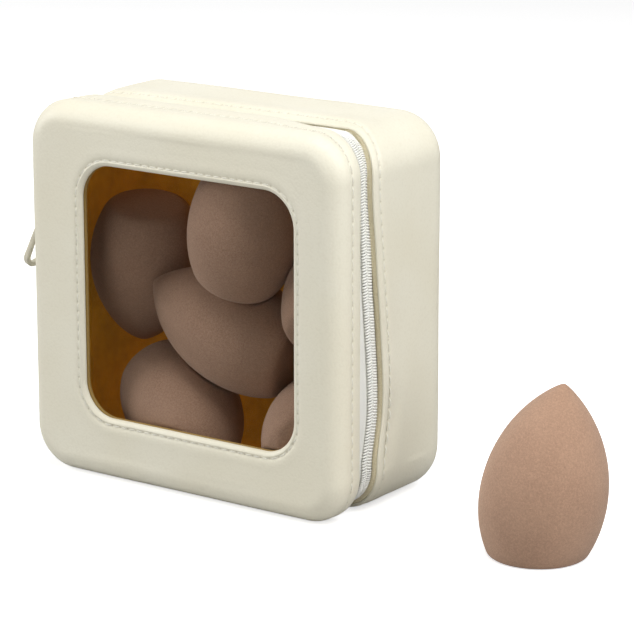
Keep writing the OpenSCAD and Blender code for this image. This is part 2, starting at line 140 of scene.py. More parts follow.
class Colours(bpy.types.PropertyGroup):
    cloth: colour("Leather cloth", "Cream leather cloth of the case", (0.84, 0.805, 0.665))
    foam: colour("Foam", "Cut edge of the foam stiffener", (0.93, 0.86, 0.64))
    lining: colour("Lining", "Gold-brown lining", (0.97, 0.50, 0.03))
    # The lining's glint colour is a painted highlight: lighter gold flecks in place of glints of light.
    painted_glint: colour("Lining glint", "Fine golden threads of the lining", (1.0, 0.70, 0.22))
    tape: colour("Zip tape", "Woven tape of the zip", (0.92, 0.92, 0.87))
    coil: colour("Zip coil", "Coils of the zip", (0.95, 0.95, 0.91))
    thread: colour("Thread", "Stitches", (0.88, 0.85, 0.74))
    metal: colour("Stops", "Metal of the zip's stops", (0.62, 0.61, 0.58))
    pull: colour("Pull", "Cream enamel of the slider and its pull", (0.74, 0.70, 0.56))
    sponge: colour("Sponge", "Tan foam of the sponges", (0.40, 0.248, 0.166))
    # The darker sponge colour serves the foam's random darker places and, as painted shade, its pores.
    sponge_dark_and_pore_shade: colour("Sponge pores", "Pores and darker places of the sponges", (0.27, 0.152, 0.10))
    floor: colour("Floor", "Pale studio floor", (0.90, 0.90, 0.90))


def in_mm(group):
    """The lengths of a property group as plain numbers in millimetres; other values stay as they are."""
    class Sizes:
        pass
    for key, prop in group.bl_rna.properties.items():
        if prop.type == "FLOAT" and not prop.is_array:
            value = getattr(group, key)
            setattr(Sizes, key, value / MM if prop.unit == "LENGTH" else value)
    return Sizes


def sizes():
    """Case, window, seam and sponge sizes of the scene, in millimetres."""
    scene = bpy.context.scene
    return tuple(in_mm(group) for group in (scene.case_sizes, scene.window_sizes, scene.seam_sizes,
                                            scene.sponge_sizes))


# Shapes

# UV value of faces that no pattern reads, and a distance in mm that lies past every row of stitches
UNMAPPED, FAR = 99.5, 99.0
# Room between two layers of the case, in mm
GLUE = 0.05
# Thickness of the window's sheet and the room on either side of it
SHEET, SHEET_ROOM = 0.5, 0.1
# How far the tapes reach past the lid's edge and from the zip's line into the tub, and their thin selvage
LID_TAPE_LAP, TUB_TAPE_REACH, SELVAGE = 6.2, 8.2, 0.15


def step(x):
    """Smooth step: 0 below 0, 1 above 1, and x squared times (3 - 2x) between them."""
    x = np.clip(x, 0, 1)
    return x * x * (3 - 2 * x)


def fade(x, start, reach):
    """1 up to start and 0 from a reach past it, with a smooth step between."""
    return 1 - step((x - start) / reach)


def quarter(steps):
    """Turns over a quarter circle in equal steps, without the 0."""
    return np.linspace(0, np.pi / 2, steps + 1)[1:]


def bell(x, width):
    """Bell curve of height 1: e to the power of minus (x / width) squared."""
    return np.exp(-(x / width) ** 2)


def at_most(value, limit, soft):
    """The lower of two, with a round corner: limit - soft * log(1 + e^((limit - value) / soft))."""
    return limit - soft * np.logaddexp(0, (limit - value) / soft)


def at_least(value, limit, soft):
    """The higher of value and limit, with a round corner."""
    return -at_most(-value, -limit, soft)


class Rim:
    """Outline of a rounded rectangle that stands in the XZ plane, by the way travelled along it.

    The way starts at the foot of the right side, goes up it, over the top, down the left side and back along
    the bottom. A point is the axis of its corner plus the outward normal times (radius - sink), so a sink
    above 0 lies inside the outline; back is the distance behind the window face.
    """
    # Stations on each straight run and each corner, in the order of the way
    STEPS = (118, 28, 120, 28) * 2

    def __init__(self, width, height, radius, middle, front):
        self.radius, self.middle, self.front = radius, middle, front
        ax, az = width / 2 - radius, height / 2 - radius
        self.axes = np.array([(ax, -az), (ax, az), (-ax, az), (-ax, -az)])
        bend = radius * np.pi / 2
        self.parts = np.array([2 * az, bend, 2 * ax, bend] * 2)
        self.starts = np.append(0, np.cumsum(self.parts))
        self.length = self.starts[-1]
        self.ways = np.concatenate([start + part * np.arange(n) / n for start, part, n
                                    in zip(self.starts, self.parts, self.STEPS)])
        self.closed_ways = np.append(self.ways, self.length)

    def at(self, way, sink, back):
        """Points of the row frame at way, sink and back, which are numbers or arrays of one shape."""
        way, sink, back = np.broadcast_arrays(np.mod(way, self.length), sink, back)
        part = np.clip(np.searchsorted(self.starts, way, side="right") - 1, 0, 7)
        share = (way - self.starts[part]) / self.parts[part]
        corner, bends = part // 2, part % 2
        here, there = self.axes[corner], self.axes[(corner + 1) % 4]
        axis = here + (there - here) * np.where(bends, 1, share)[..., None]
        angle = np.pi / 2 * (corner + bends * share)
        reach = self.radius - sink
        return np.stack([self.middle[0] + axis[..., 0] + np.cos(angle) * reach, self.front + back,
                         self.middle[1] + axis[..., 1] + np.sin(angle) * reach], -1)

    def ring(self, sink, back):
        """One closed ring of points at every station."""
        return self.at(self.ways, sink, back)


def outlines(case, window):
    """The outline of the case and that of the window opening."""
    front, middle = -case.depth / 2, case.height / 2
    return (Rim(case.width, case.height, case.corner, (0, middle), front),
            Rim(window.width, window.height, window.corner, (window.right, middle + window.up), front))


class Surface:
    """Grids and fans of points that become one mesh, with UV maps given at the corners of the faces."""

    def __init__(self, *maps):
        self.points, self.faces, self.maps, self.count = [], [], {name: [] for name in maps}, 0

    def grid(self, points, round_rows=False, round_columns=False, **maps):
        """Quads between the rows and columns of an array of points; returns the points' numbers."""
        rows, columns = points.shape[:2]
        numbers = self.count + np.arange(rows * columns).reshape(rows, columns)
        self.points.append(points.reshape(-1, 3))
        self.count += rows * columns
        index = np.vstack([numbers, numbers[:1]]) if round_rows else numbers
        index = np.hstack([index, index[:, :1]]) if round_columns else index
        self.faces.append(self.corners(index).reshape(-1, 4))
        for name, parts in self.maps.items():
            flat = maps.get(name, np.full(index.shape + (2,), UNMAPPED))
            parts.append(self.corners(flat).reshape(-1, 2))
        return numbers

    @staticmethod
    def corners(index):
        """The four corners of each quad of a grid."""
        return np.stack([index[:-1, :-1], index[:-1, 1:], index[1:, 1:], index[1:, :-1]], 2)

    def fan(self, ring, tip):
        """Triangles from a closed ring of point numbers to one more point."""
        self.points.append(np.reshape(tip, (1, 3)))
        faces = np.stack([ring, np.roll(ring, -1), np.full(len(ring), self.count)], -1)
        self.count += 1
        self.faces.append(faces)
        for parts in self.maps.values():
            parts.append(np.full((faces.size, 2), UNMAPPED))

    def build(self, name, material, outward=True):
        """The mesh object, with smooth faces that point outward."""
        mesh = bpy.data.meshes.new(name)
        points = np.concatenate(self.points) * MM
        corners = np.concatenate([faces.ravel() for faces in self.faces])
        widths = np.concatenate([np.full(len(faces), faces.shape[1]) for faces in self.faces])
        mesh.vertices.add(len(points))
        mesh.vertices.foreach_set("co", points.astype(np.float32).ravel())
        mesh.loops.add(len(corners))
        mesh.loops.foreach_set("vertex_index", corners.astype(np.int32))
        mesh.polygons.add(len(widths))
        mesh.polygons.foreach_set("loop_start", np.append(0, np.cumsum(widths)[:-1]).astype(np.int32))
        mesh.update(calc_edges=True)
        for key, parts in self.maps.items():
            layer = mesh.uv_layers.new(name=key)
            layer.data.foreach_set("uv", np.concatenate(parts).astype(np.float32).ravel())
        if outward:
            turn_outward(mesh)
        mesh.shade_smooth()
        return show(name, mesh, material)


def turn_outward(mesh):
    """Turns the faces of closed shells outward."""
    bm = bmesh.new()
    bm.from_mesh(mesh)
    bmesh.ops.recalc_face_normals(bm, faces=bm.faces)
    bm.to_mesh(mesh)
    bm.free()


def paint(mesh, material):
    """Gives a mesh one material."""
    mesh.materials.clear()
    mesh.materials.append(material)


def show(name, mesh, material):
    """Puts a mesh into the scene as an object at the origin."""
    paint(mesh, material)
    piece = bpy.data.objects.new(name, mesh)
    bpy.context.scene.collection.objects.link(piece)
    return piece


def declare(piece, body, node, slot):
    """Puts a piece on what it rides on and hides the solid it stands for; slot, what it is made of, is not
    used.
    """
    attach(piece, body)
    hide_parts(node)


def closed_tube(shell, points, **maps):
    """Adds a tube of rings to a surface, closed at both ends."""
    numbers = shell.grid(points, round_columns=True, **maps)
    shell.fan(numbers[0], points[0].mean(0))
    shell.fan(numbers[-1], points[-1].mean(0))


def closed_ribbon(shell, points, **maps):
    """Adds a ribbon whose rows go round its section, closed at both ends."""
    numbers = shell.grid(points, round_rows=True, **maps)
    shell.fan(numbers[:, 0], points[:, 0].mean(0))
    shell.fan(numbers[:, -1], points[:, -1].mean(0))


def uv(u, v):
    """A UV map from two arrays of one shape."""
    return np.stack(np.broadcast_arrays(u, v), -1)


# Shader maths

class Wire:
    """A number in a shader. Python's operators on it add the Math nodes that work them out."""

    def __init__(self, finish, socket):
        self.finish, self.socket = finish, socket

    def maths(self, operation, *values):
        return self.finish.wire("ShaderNodeMath", {"operation": operation}, dict(enumerate(values)))

    def __add__(self, other):
        return self.maths("ADD", self, other)

    def __radd__(self, other):
        return self.maths("ADD", other, self)

    def __sub__(self, other):
        return self.maths("SUBTRACT", self, other)

    def __rsub__(self, other):
        return self.maths("SUBTRACT", other, self)

    def __mul__(self, other):
        return self.maths("MULTIPLY", self, other)

    def __rmul__(self, other):
        return self.maths("MULTIPLY", other, self)

    def sine(self):
        return self.maths("SINE", self)

    def part(self):
        """What is left after the last whole number."""
        return self.maths("FRACT", self)

    def size(self):
        """The number without its sign."""
        return self.maths("ABSOLUTE", self)

    def root(self):
        return self.maths("SQRT", self)

    def rise(self, low, high):
        """0 at low and 1 at high, with a smooth step between; high may be the lower one."""
        return self.finish.wire("ShaderNodeMapRange", {"interpolation_type": "SMOOTHSTEP"},
                                {0: self, 1: low, 2: high, 3: 0.0, 4: 1.0})


class Tree:
    """A node tree that starts empty, and one method that adds any node to it."""

    def __init__(self, tree):
        self.nodes, self.links = tree.nodes, tree.links
        self.nodes.clear()

    def feed(self, socket, value):
        """Sets a socket to a number or colour, or links it."""
        if isinstance(value, Wire):
            value = value.socket
        if isinstance(value, bpy.types.NodeSocket):
            self.links.new(value, socket)
        elif hasattr(value, "__len__") and len(socket.default_value) == len(value) + 1:
            socket.default_value = (*value, 1)
        else:
            socket.default_value = value

    def node(self, kind, settings=None, values=None):
        """Adds a node of a kind, with its settings first and then its values or links."""
        node = self.nodes.new(kind)
        for key, value in (settings or {}).items():
            setattr(node, key, value)
        for key, value in (values or {}).items():
            self.feed(node.inputs[key], value)
        return node

    def wire(self, kind, settings=None, values=None, output=0):
        return Wire(self, self.node(kind, settings, values).outputs[output])


class Finish(Tree):
    """One material: its Principled shader and the patterns that feed it."""

    def __init__(self, name, **constants):
        self.material = bpy.data.materials.new(name)
        self.material.use_nodes = True
        super().__init__(self.material.node_tree)
        self.shader = self.node("ShaderNodeBsdfPrincipled")
        self.output = self.node("ShaderNodeOutputMaterial", None, {"Surface": self.shader.outputs[0]})
        for key, value in constants.items():
            self.set(key.replace("_", " ").title().replace("Ior", "IOR"), value)

    def set(self, label, value):
        """Sets a socket of the Principled shader."""
        self.feed(self.shader.inputs[label], value)

    def place(self):
        """Object coordinates in metres."""
        return self.node("ShaderNodeTexCoord").outputs["Object"]

    def noise(self, size, detail=2.0, roughness=0.5):
        """Cloudy noise from 0 to 1 with spots of a size in millimetres."""
        return self.wire("ShaderNodeTexNoise", None, {"Vector": self.place(), "Scale": 1 / (size * MM),
                                                      "Detail": detail, "Roughness": roughness})

    def cells(self, size, feature="F1"):
        """Distance to the middles of random cells, in cell sizes."""
        return self.wire("ShaderNodeTexVoronoi", {"feature": feature},
                         {"Vector": self.place(), "Scale": 1 / (size * MM)})

    def map(self, name):
        """The two numbers of a UV map."""
        split = self.node("ShaderNodeSeparateXYZ", None,
                          {0: self.node("ShaderNodeUVMap", {"uv_map": name}).outputs[0]})
        return Wire(self, split.outputs[0]), Wire(self, split.outputs[1])

    def mix(self, share, low, high):
        """Colour from low to high by a share."""
        return self.wire("ShaderNodeMix", {"data_type": "RGBA"}, {0: share, 6: low, 7: high}, 2)

    def relief(self, height, strength):
        """Bumps the surface by a height in millimetres."""
        self.set("Normal", self.node("ShaderNodeBump", None, {"Strength": strength, "Distance": MM,
                                                              "Height": height}).outputs[0])


def toned(hue, *shares):
    """A colour with each part times its share; one share alone serves all three."""
    return [part * share for part, share in zip(hue, shares * (3 // len(shares)))]


def needle_holes(finish, name, pitch=4.5, edge=0.62, bottom=0.2):
    """1 in the needle holes of a row of stitches: its map counts stitches along, and millimetres across.

    A hole's rim and bottom lie at two distances from its middle, in mm, on stitches of about this pitch.
    """
    count, across = finish.map(name)
    along = ((count.part() - 0.5).size() - 0.5) * pitch
    return (along * along + across * across).root().rise(edge, bottom)


def leather_cloth(name, hues, rows):
    """Satin cream leather cloth with a fine grain, and needle holes along its rows of stitches, darkened with
    painted shade.
    """
    finish = Finish(name, ior=1.46, sheen_weight=0.08, sheen_roughness=0.5)
    # hole is a painted shade colour: the needle holes are darkened towards it.
    furrow, hole = (0.62, 0.56, 0.42), (0.42, 0.36, 0.25)
    grain = finish.cells(size=0.75, feature="SMOOTH_F1")
    fine = finish.noise(size=0.35, detail=3.0, roughness=0.6)
    cloud = finish.noise(size=34)
    tone = finish.mix(cloud.rise(0.30, 0.72), hues.cloth, toned(hues.cloth, 0.965, 0.955, 0.93))
    tone = finish.mix(grain.rise(0.35, 0.75) * 0.10, tone, furrow)
    height = grain * -0.06 + fine * 0.035
    for row in rows:
        holes = needle_holes(finish, row)
        # Painted shade in the needle holes, beside their real dent.
        tone = finish.mix(holes * 0.3, tone, hole)
        height = height - holes * 0.15
    finish.set("Base Color", tone)
    finish.set("Roughness", 0.46 + (cloud - 0.5) * 0.10 + grain * 0.06)
    finish.relief(height, strength=0.7)
    return finish.material


def stiff_foam(hues):
    """Matte beige foam: closed cells, with the cut face a little uneven."""
    finish = Finish("case_foam", roughness=0.9, ior=1.4)
    cells, cloud = finish.cells(size=0.32), finish.noise(size=3)
    finish.set("Base Color", finish.mix(cells.rise(0.15, 0.65) * 0.7 + cloud * 0.3, hues.foam,
                                        toned(hues.foam, 0.80, 0.76, 0.68)))
    finish.relief(cells * 0.12 + cloud * 0.15, strength=0.8)
    return finish.material


def lining_cloth(hues):
    """Gold-brown brushed cloth: a fine weave with lighter gold flecks as painted glints, on a cloudy ground.

    A faint glow stands in for the light that is scattered about in the case.
    """
    finish = Finish("lining_cloth", roughness=0.5, emission_color=(0.9, 0.44, 0.02), emission_strength=0.06)
    cloud = finish.noise(size=14, detail=3.0, roughness=0.6)
    pile = finish.noise(size=0.45, detail=3.0, roughness=0.7)
    # Painted highlight: small lighter gold flecks stand in for glints of light on the weave.
    painted_glint = finish.cells(size=0.5).rise(0.32, 0.08)
    ground = finish.mix(cloud.rise(0.32, 0.70), hues.lining, toned(hues.lining, 0.66, 0.62, 0.60))
    finish.set("Base Color", finish.mix(painted_glint * pile.rise(0.42, 0.62), ground, hues.painted_glint))
    finish.relief(pile * 0.18 + cloud * 0.5, strength=0.8)
    return finish.material


def woven_tape(hues, twills=1.7, rib_pitch=0.42):
    """White zip tape in a fine twill, from its map of millimetres along and across."""
    finish = Finish("zip_tape", roughness=0.85, sheen_weight=0.2)
    along, across = finish.map("along")
    twill = ((along * twills + across * twills) * np.pi).sine() * 0.5 + 0.5
    ribs = (across * (np.pi / rib_pitch)).sine().size()
    weave = twill * 0.6 + ribs * 0.4
    finish.set("Base Color", finish.mix(weave * 0.45, toned(hues.tape, 0.93), hues.tape))
    finish.relief(weave * 0.14, strength=0.9)
    return finish.material


def coil_nylon(hues):
    """Satin white nylon wire."""
    finish = Finish("zip_coil", roughness=0.5, ior=1.45)
    cloud = finish.noise(size=1.1)
    finish.set("Base Color", finish.mix(cloud.rise(0.35, 0.75) * 0.5, hues.coil,
                                        toned(hues.coil, 0.93, 0.93, 0.90)))
    finish.relief(finish.noise(size=0.3) * 0.02, strength=0.5)
    return finish.material


def twisted_thread(hues, twists=1.1, plies=3.0):
    """Thread of three twisted plies, from its map of millimetres along and turns round."""
    finish = Finish("thread", roughness=0.6, sheen_weight=0.3)
    along, turn = finish.map("along")
    twist = ((along * twists + turn * plies) * (2 * np.pi)).sine() * 0.5 + 0.5
    finish.set("Base Color", finish.mix(twist, toned(hues.thread, 0.88), hues.thread))
    finish.relief(twist * 0.06, strength=0.8)
    return finish.material


def clear_sheet():
    """Clear flexible sheet, glossy, with faint waves."""
    finish = Finish("clear_sheet", base_color=(0.03, 0.02, 0.01), roughness=0.04, ior=1.5, alpha=0.10,
                    specular_ior_level=0.12)
    finish.relief(finish.noise(size=22, detail=1.0) * 0.25, strength=0.5)
    return finish.material


def satin_enamel(name, tone, metal, wear):
    """Cream enamel or plain metal: satin, with fine scratches and rubbed spots."""
    finish = Finish(name, metallic=metal, ior=1.5)
    rub = finish.noise(size=2.6, detail=4.0, roughness=0.6).rise(0.52, 0.70)
    fine = finish.noise(size=0.25)
    finish.set("Base Color", finish.mix(rub * wear, tone, toned(tone, 0.78)))
    finish.set("Roughness", 0.30 + rub * 0.14 + fine * 0.05)
    finish.relief(fine * 0.015 + rub * 0.02, strength=0.5)
    return finish.material


def sponge_foam(hues):
    """Velvety foam: a fine nap, open pores darkened with painted shade, and slow changes of tone."""
    finish = Finish("sponge_foam", roughness=0.94, ior=1.35, sheen_weight=0.30, sheen_roughness=0.55,
                    sheen_tint=(0.95, 0.80, 0.70))
    nap = finish.noise(size=0.62, detail=4.0, roughness=0.8)
    pores = finish.cells(size=0.62).rise(0.30, 0.06) * finish.noise(size=1.5).rise(0.46, 0.62)
    cloud = finish.noise(size=13, detail=3.0, roughness=0.6)
    tone = finish.mix(cloud.rise(0.30, 0.74) * 0.30, hues.sponge, hues.sponge_dark_and_pore_shade)
    tone = finish.mix(nap.rise(0.36, 0.70) * 0.62, tone, toned(hues.sponge, 1.44))
    # Painted shade: the pores are darkened towards the darker sponge colour.
    finish.set("Base Color", finish.mix(pores * 0.75, tone, hues.sponge_dark_and_pore_shade))
    finish.relief(nap * 0.22 - pores * 0.16 + cloud * 0.3, strength=0.75)
    return finish.material


# The case

# Read off the photograph: the way along the rim from the foot of the right side, and how far the tub's cut
# edge creeps there towards the lid (below 0) or away from it, in mm; then the same for the lid's edge
EDGE_CREEP = ((0, -0.7), (7, 0.4), (13, 2.5), (20, 3.2), (33, 2.6), (46, 1.2), (55, 0.4), (62, -0.8),
              (72, -1.4), (79, -2.6), (92, -3.8), (99, -3.6), (106, -2), (112, 0.4), (120, 3.2), (222, 3.2),
              (242, 0), (455, 0), (466, -0.2))
LID_CREEP = ((98, 0), (108, 0.9), (118, 2.6), (126, 4.2), (140, 9.6), (222, 9.6), (236, 2), (246, 0))
# How far either side a creep is evened out, and the share of it that the zip follows towards the lid
CREEP_REACH, ZIP_SHARE = 6, 0.3
# Creep at which the tub's edge covers the zip, how deep the zip lies there, and where that edge dips under
# the lid's on the top of the case: the way it starts and ends, and the reach of each
COVER_CREEP, COVER_SINK, TOP_DIP = 5, 0.75, ((106, 18), (212, 12))
# Soft corner at the top left: its way, its reach along the rim and its depth
TUCK_WAY, TUCK_REACH, TUCK_DEPTH = 227, 13, 1.6
# Dents of the tub beside its cut edge: depth, way and reach along the rim, distance and reach past the edge
TUB_DENTS = ((1.1, 15, 10, 5, 4.5), (0.5, 40, 16, 9, 6))
# Depth of the walls' slow unevenness
SWAY = 0.22
# Depth of the thread's middle line below the flat wall or face, at each row
LID_THREAD_SINK, TUB_THREAD_SINK, FACE_THREAD_SINK = 0.26, 0.30, 0.22


def creep(rim, way, table=EDGE_CREEP):
    """Creep of an edge: the mean of the table's straight-line values within its reach."""
    places, values = zip(*table)
    near = [np.interp(np.mod(way + d, rim.length), places, values, period=rim.length)
            for d in np.linspace(-CREEP_REACH, CREEP_REACH, 7)]
    return np.mean(near, 0)


def lid_creep(rim, way, past):
    """Creep of the lid's wall at a distance from its edge: all of it up to 2 mm, none from 8.5 mm."""
    return creep(rim, way, LID_CREEP) * fade(past, start=2.0, reach=6.5)


def zip_creep(rim, way):
    """Creep of the zip's line: that of the tub's edge where it goes backwards, else a share of it."""
    shift = creep(rim, way)
    return np.where(shift > 0, shift, ZIP_SHARE * shift)


def closed_over(way):
    """Share by which the tub's edge dips under the lid's, on the top of the case, 0 to 1."""
    (start, rise), (end, fall) = TOP_DIP
    return step((way - start) / rise) * fade(way, end, fall)


def tuck(way):
    """How much lower the tub's soft corner at the top left lies, in mm."""
    return TUCK_DEPTH * bell(way - TUCK_WAY, TUCK_REACH)


def tub_dip(way, past):
    """How much lower the tub's wall lies at a distance past its cut edge.

    The tuck fades out over 24 mm, and a dip of 1.2 mm under the lid's edge over 4.5 mm.
    """
    return tuck(way) * fade(past, start=0, reach=24) + 1.2 * closed_over(way) * fade(past, start=0, reach=4.5)


def cover(rim, way):
    """Share by which the tub's edge covers the zip, 0 to 1."""
    return np.clip(-creep(rim, way) / COVER_CREEP, 0, 1)


def holes_along(way, pitch):
    """1 at each needle hole and 0 half a pitch away: half of one plus the cosine of the way in pitches."""
    return 0.5 + 0.5 * np.cos(2 * np.pi * way / pitch)


def seam_relief(gap, way, pitch):
    """Depth of the skin beside a row of stitches at a distance from it.

    The row pulls a valley that is deeper at each needle hole, and the foam puffs up on both sides.
    """
    valley, hole, valley_reach = 0.22, 0.12, 0.7
    puff, puff_gap, puff_reach = 0.07, 1.8, 1.0
    return ((valley + hole * holes_along(way, pitch)) * bell(gap, valley_reach)
            - puff * bell(np.abs(gap) - puff_gap, puff_reach))


def sway(a, b):
    """Slow unevenness of a soft wall, from -1 to 1: three crossed waves."""
    return (np.sin(a / 17.0 + 0.6) * np.sin(b / 13.0 + 1.1) + np.sin(a / 9.1 + b / 23.0)
            + np.sin(b / 7.3 - a / 31.0 + 2.0)) / 3


def stitch_ways(rim, pitch):
    """Pitch that fits whole stitches on the rim, and their number."""
    number = round(rim.length / pitch)
    return rim.length / number, number


def nose(top, low, edge, bulge, steps):
    """Round edge of a layer as (depth, back) pairs, from its low side to its top side."""
    turn = np.linspace(0, np.pi, steps)
    middle, half = (top + low) / 2, (low - top) / 2
    return [(middle + half * np.cos(t), edge + half * bulge * (1 - np.sin(t))) for t in turn]


def tub_layer(case, window, seam, top, low, edge, bulge, top_step, low_step, recess=0):
    """Closed shell of one layer of the tub between two depths.

    Rows of (depth, distance from the cut edge) are carried round the rim: the inner side from the middle of
    the back to the cut edge, a round nose, and the outer side back again. Each row moves with the edge's
    creep and the seam's relief, which fade towards the back. top_step and low_step are how much deeper the
    layer's two sides lie under the seam, and recess is how far its edge draws back where the zip is covered.
    """
    rim = outlines(case, window)[0]
    way, closed = rim.ways, rim.closed_ways
    cut = case.lid_side + seam.zip_gap
    wall = case.depth - case.back_roll - cut
    pitch = stitch_ways(rim, seam.pitch)[0]
    shift, hidden = creep(rim, way), cover(rim, way)
    edge_reach, edge_dip, back_crown, back_sway = 2.6, 0.5, 0.6, 0.18

    def ring(depth, past, deeper):
        """The ring at a depth and a distance past the cut edge."""
        dip = edge_dip * (1 - np.clip(past / edge_reach, 0, 1)) ** 2
        dent = sum(deep * bell(way - at, along) * bell(past - behind, reach)
                   for deep, at, along, behind, reach in TUB_DENTS)
        soft = (seam_relief(past - seam.tub_row, way, pitch) + dent
                + SWAY * sway(way, past * 2) * step(past / 12))
        soft = soft - 0.30 * bell(past - 8.5, 4)
        soft = soft + tub_dip(way, past)
        held = deeper * fade(past, start=4.5, reach=edge_reach) * (1 - 0.8 * hidden)
        drawn = recess * closed_over(way) * fade(past, start=1, reach=5)
        return rim.ring(depth + dip + soft + held,
                        cut + past + drawn + shift * fade(past, start=3.5, reach=13))

    def side(depth, pasts, deeper, ring_shares):
        """Rows of one side: wall, rolled edge and flat back, from the cut edge to the middle of the back."""
        rows = [ring(depth, past, deeper) for past in pasts]
        reach = case.back_roll - depth
        turns = quarter(14)
        rows += [rim.ring(case.back_roll - reach * np.cos(t) + SWAY * sway(way, wall * 2) * np.cos(t) ** 2,
                          case.depth - case.back_roll + reach * np.sin(t)) for t in turns]
        last, middle = rows[-1], np.array([0, case.depth / 2 - depth + 0.5, case.height / 2])
        for share in ring_shares:
            row = middle + (last - middle) * (1 - share)
            row[:, 1] = (last[:, 1] + back_crown * share * (2 - share)
                         + back_sway * sway(row[:, 0], row[:, 2]) * step(share * 4))
            rows.append(row)
        return rows, pasts + [wall + reach * t for t in turns] + [wall + 14 + 50 * s for s in ring_shares]

    fine = list(np.concatenate([np.linspace(0.5, 5.4, 17), np.linspace(5.9, wall, 15)]))
    coarse = list(np.linspace(0.6, wall, 14))
    inner, inner_v = side(low, coarse, low_step, (0.12, 0.4, 0.75, 0.96))
    outer, outer_v = side(top, fine, top_step, (0.05, 0.12, 0.2, 0.3, 0.4, 0.5, 0.6, 0.7, 0.8, 0.9, 0.97))
    mean_step = (top_step + low_step) / 2
    edge_rows = nose(top + top_step, low + low_step, edge, bulge, 9)
    ends = [ring(depth - mean_step, past, mean_step) for depth, past in edge_rows]
    points = np.array(inner[::-1] + ends + outer)
    v = np.array(inner_v[::-1] + [past for _, past in edge_rows] + outer_v)[:, None]
    row_v = np.where(np.arange(len(v))[:, None] < len(inner), FAR, v - seam.tub_row)
    shell = Surface("along", "seam")
    closed_tube(shell, points, along=uv(closed[None], v), seam=uv(closed[None] / pitch, row_v))
    return shell


def lid_relief(seam, rim, past, way):
    """Relief of the lid's side wall at a distance from the lid's edge."""
    pitch = stitch_ways(rim, seam.pitch)[0]
    return (seam_relief(past - seam.lid_row, way, pitch) + 0.10 * sway(way, past * 3)
            + 0.7 * tuck(way) * fade(past, start=0, reach=7))


def lid_rows(case, window, seam, depth, past_rows, face_offsets):
    """Rows of one side of a lid layer: side wall, rolled edge, and face up to the window.

    past_rows are distances from the lid's edge, face_offsets are distances from the opening. Returns the
    rows, their distance along the profile and their distance from the opening.
    """
    rim, opening = outlines(case, window)
    pitch = stitch_ways(opening, window.stitch_pitch)[0]
    turns = quarter(14)
    rows = [rim.ring(depth + lid_relief(seam, rim, past, rim.ways),
                     case.lid_side - past + lid_creep(rim, rim.ways, past)) for past in past_rows]
    v = list(past_rows)
    reach, start = case.front_roll - depth, case.lid_side - case.front_roll
    for t in turns:
        past = start + case.front_roll * t
        soft = lid_relief(seam, rim, past, rim.ways) * np.cos(t)
        rows.append(rim.ring(case.front_roll - (reach - soft) * np.cos(t),
                             case.front_roll - reach * np.sin(t)))
        v.append(past)
    edge = rows[-1]
    inner = opening.ring(-face_offsets[0], depth)
    for share in np.linspace(0, 1, 9)[1:-1]:
        rows.append(edge + (inner - edge) * share)
        v.append(v[-1] + 1.2)
    offsets = [FAR] * len(rows)
    for offset in face_offsets:
        rows.append(opening.ring(-offset, depth))
        offsets.append(offset)
        v.append(v[-1] + 1.0)
    rows = np.array(rows)
    gap = np.array(offsets)[:, None] - window.stitch_gap
    valley, hole, valley_reach = 0.17, 0.10, 0.65
    hem_puff, hem_gap, hem_reach = 0.10, 2.2, 1.6
    lip_puff, lip_gap, lip_reach = 0.34, 1.2, 0.9
    crown_height, uneven_height = 0.12, 0.12
    pucker = ((valley + hole * holes_along(opening.ways, pitch)[None]) * bell(gap, valley_reach)
              - hem_puff * bell(gap - hem_gap, hem_reach) - lip_puff * bell(gap + lip_gap, lip_reach))
    crown = np.zeros(len(rows))
    first = len(past_rows) + len(turns)
    crown[first:] = crown_height * np.sin(np.pi * np.linspace(0, 1, len(rows) - first)) ** 2
    uneven = uneven_height * sway(rows[:, :, 0], rows[:, :, 2]) * (crown[:, None] > 0)
    rows[:, :, 1] += pucker - crown[:, None] - uneven
    return list(rows), v, offsets


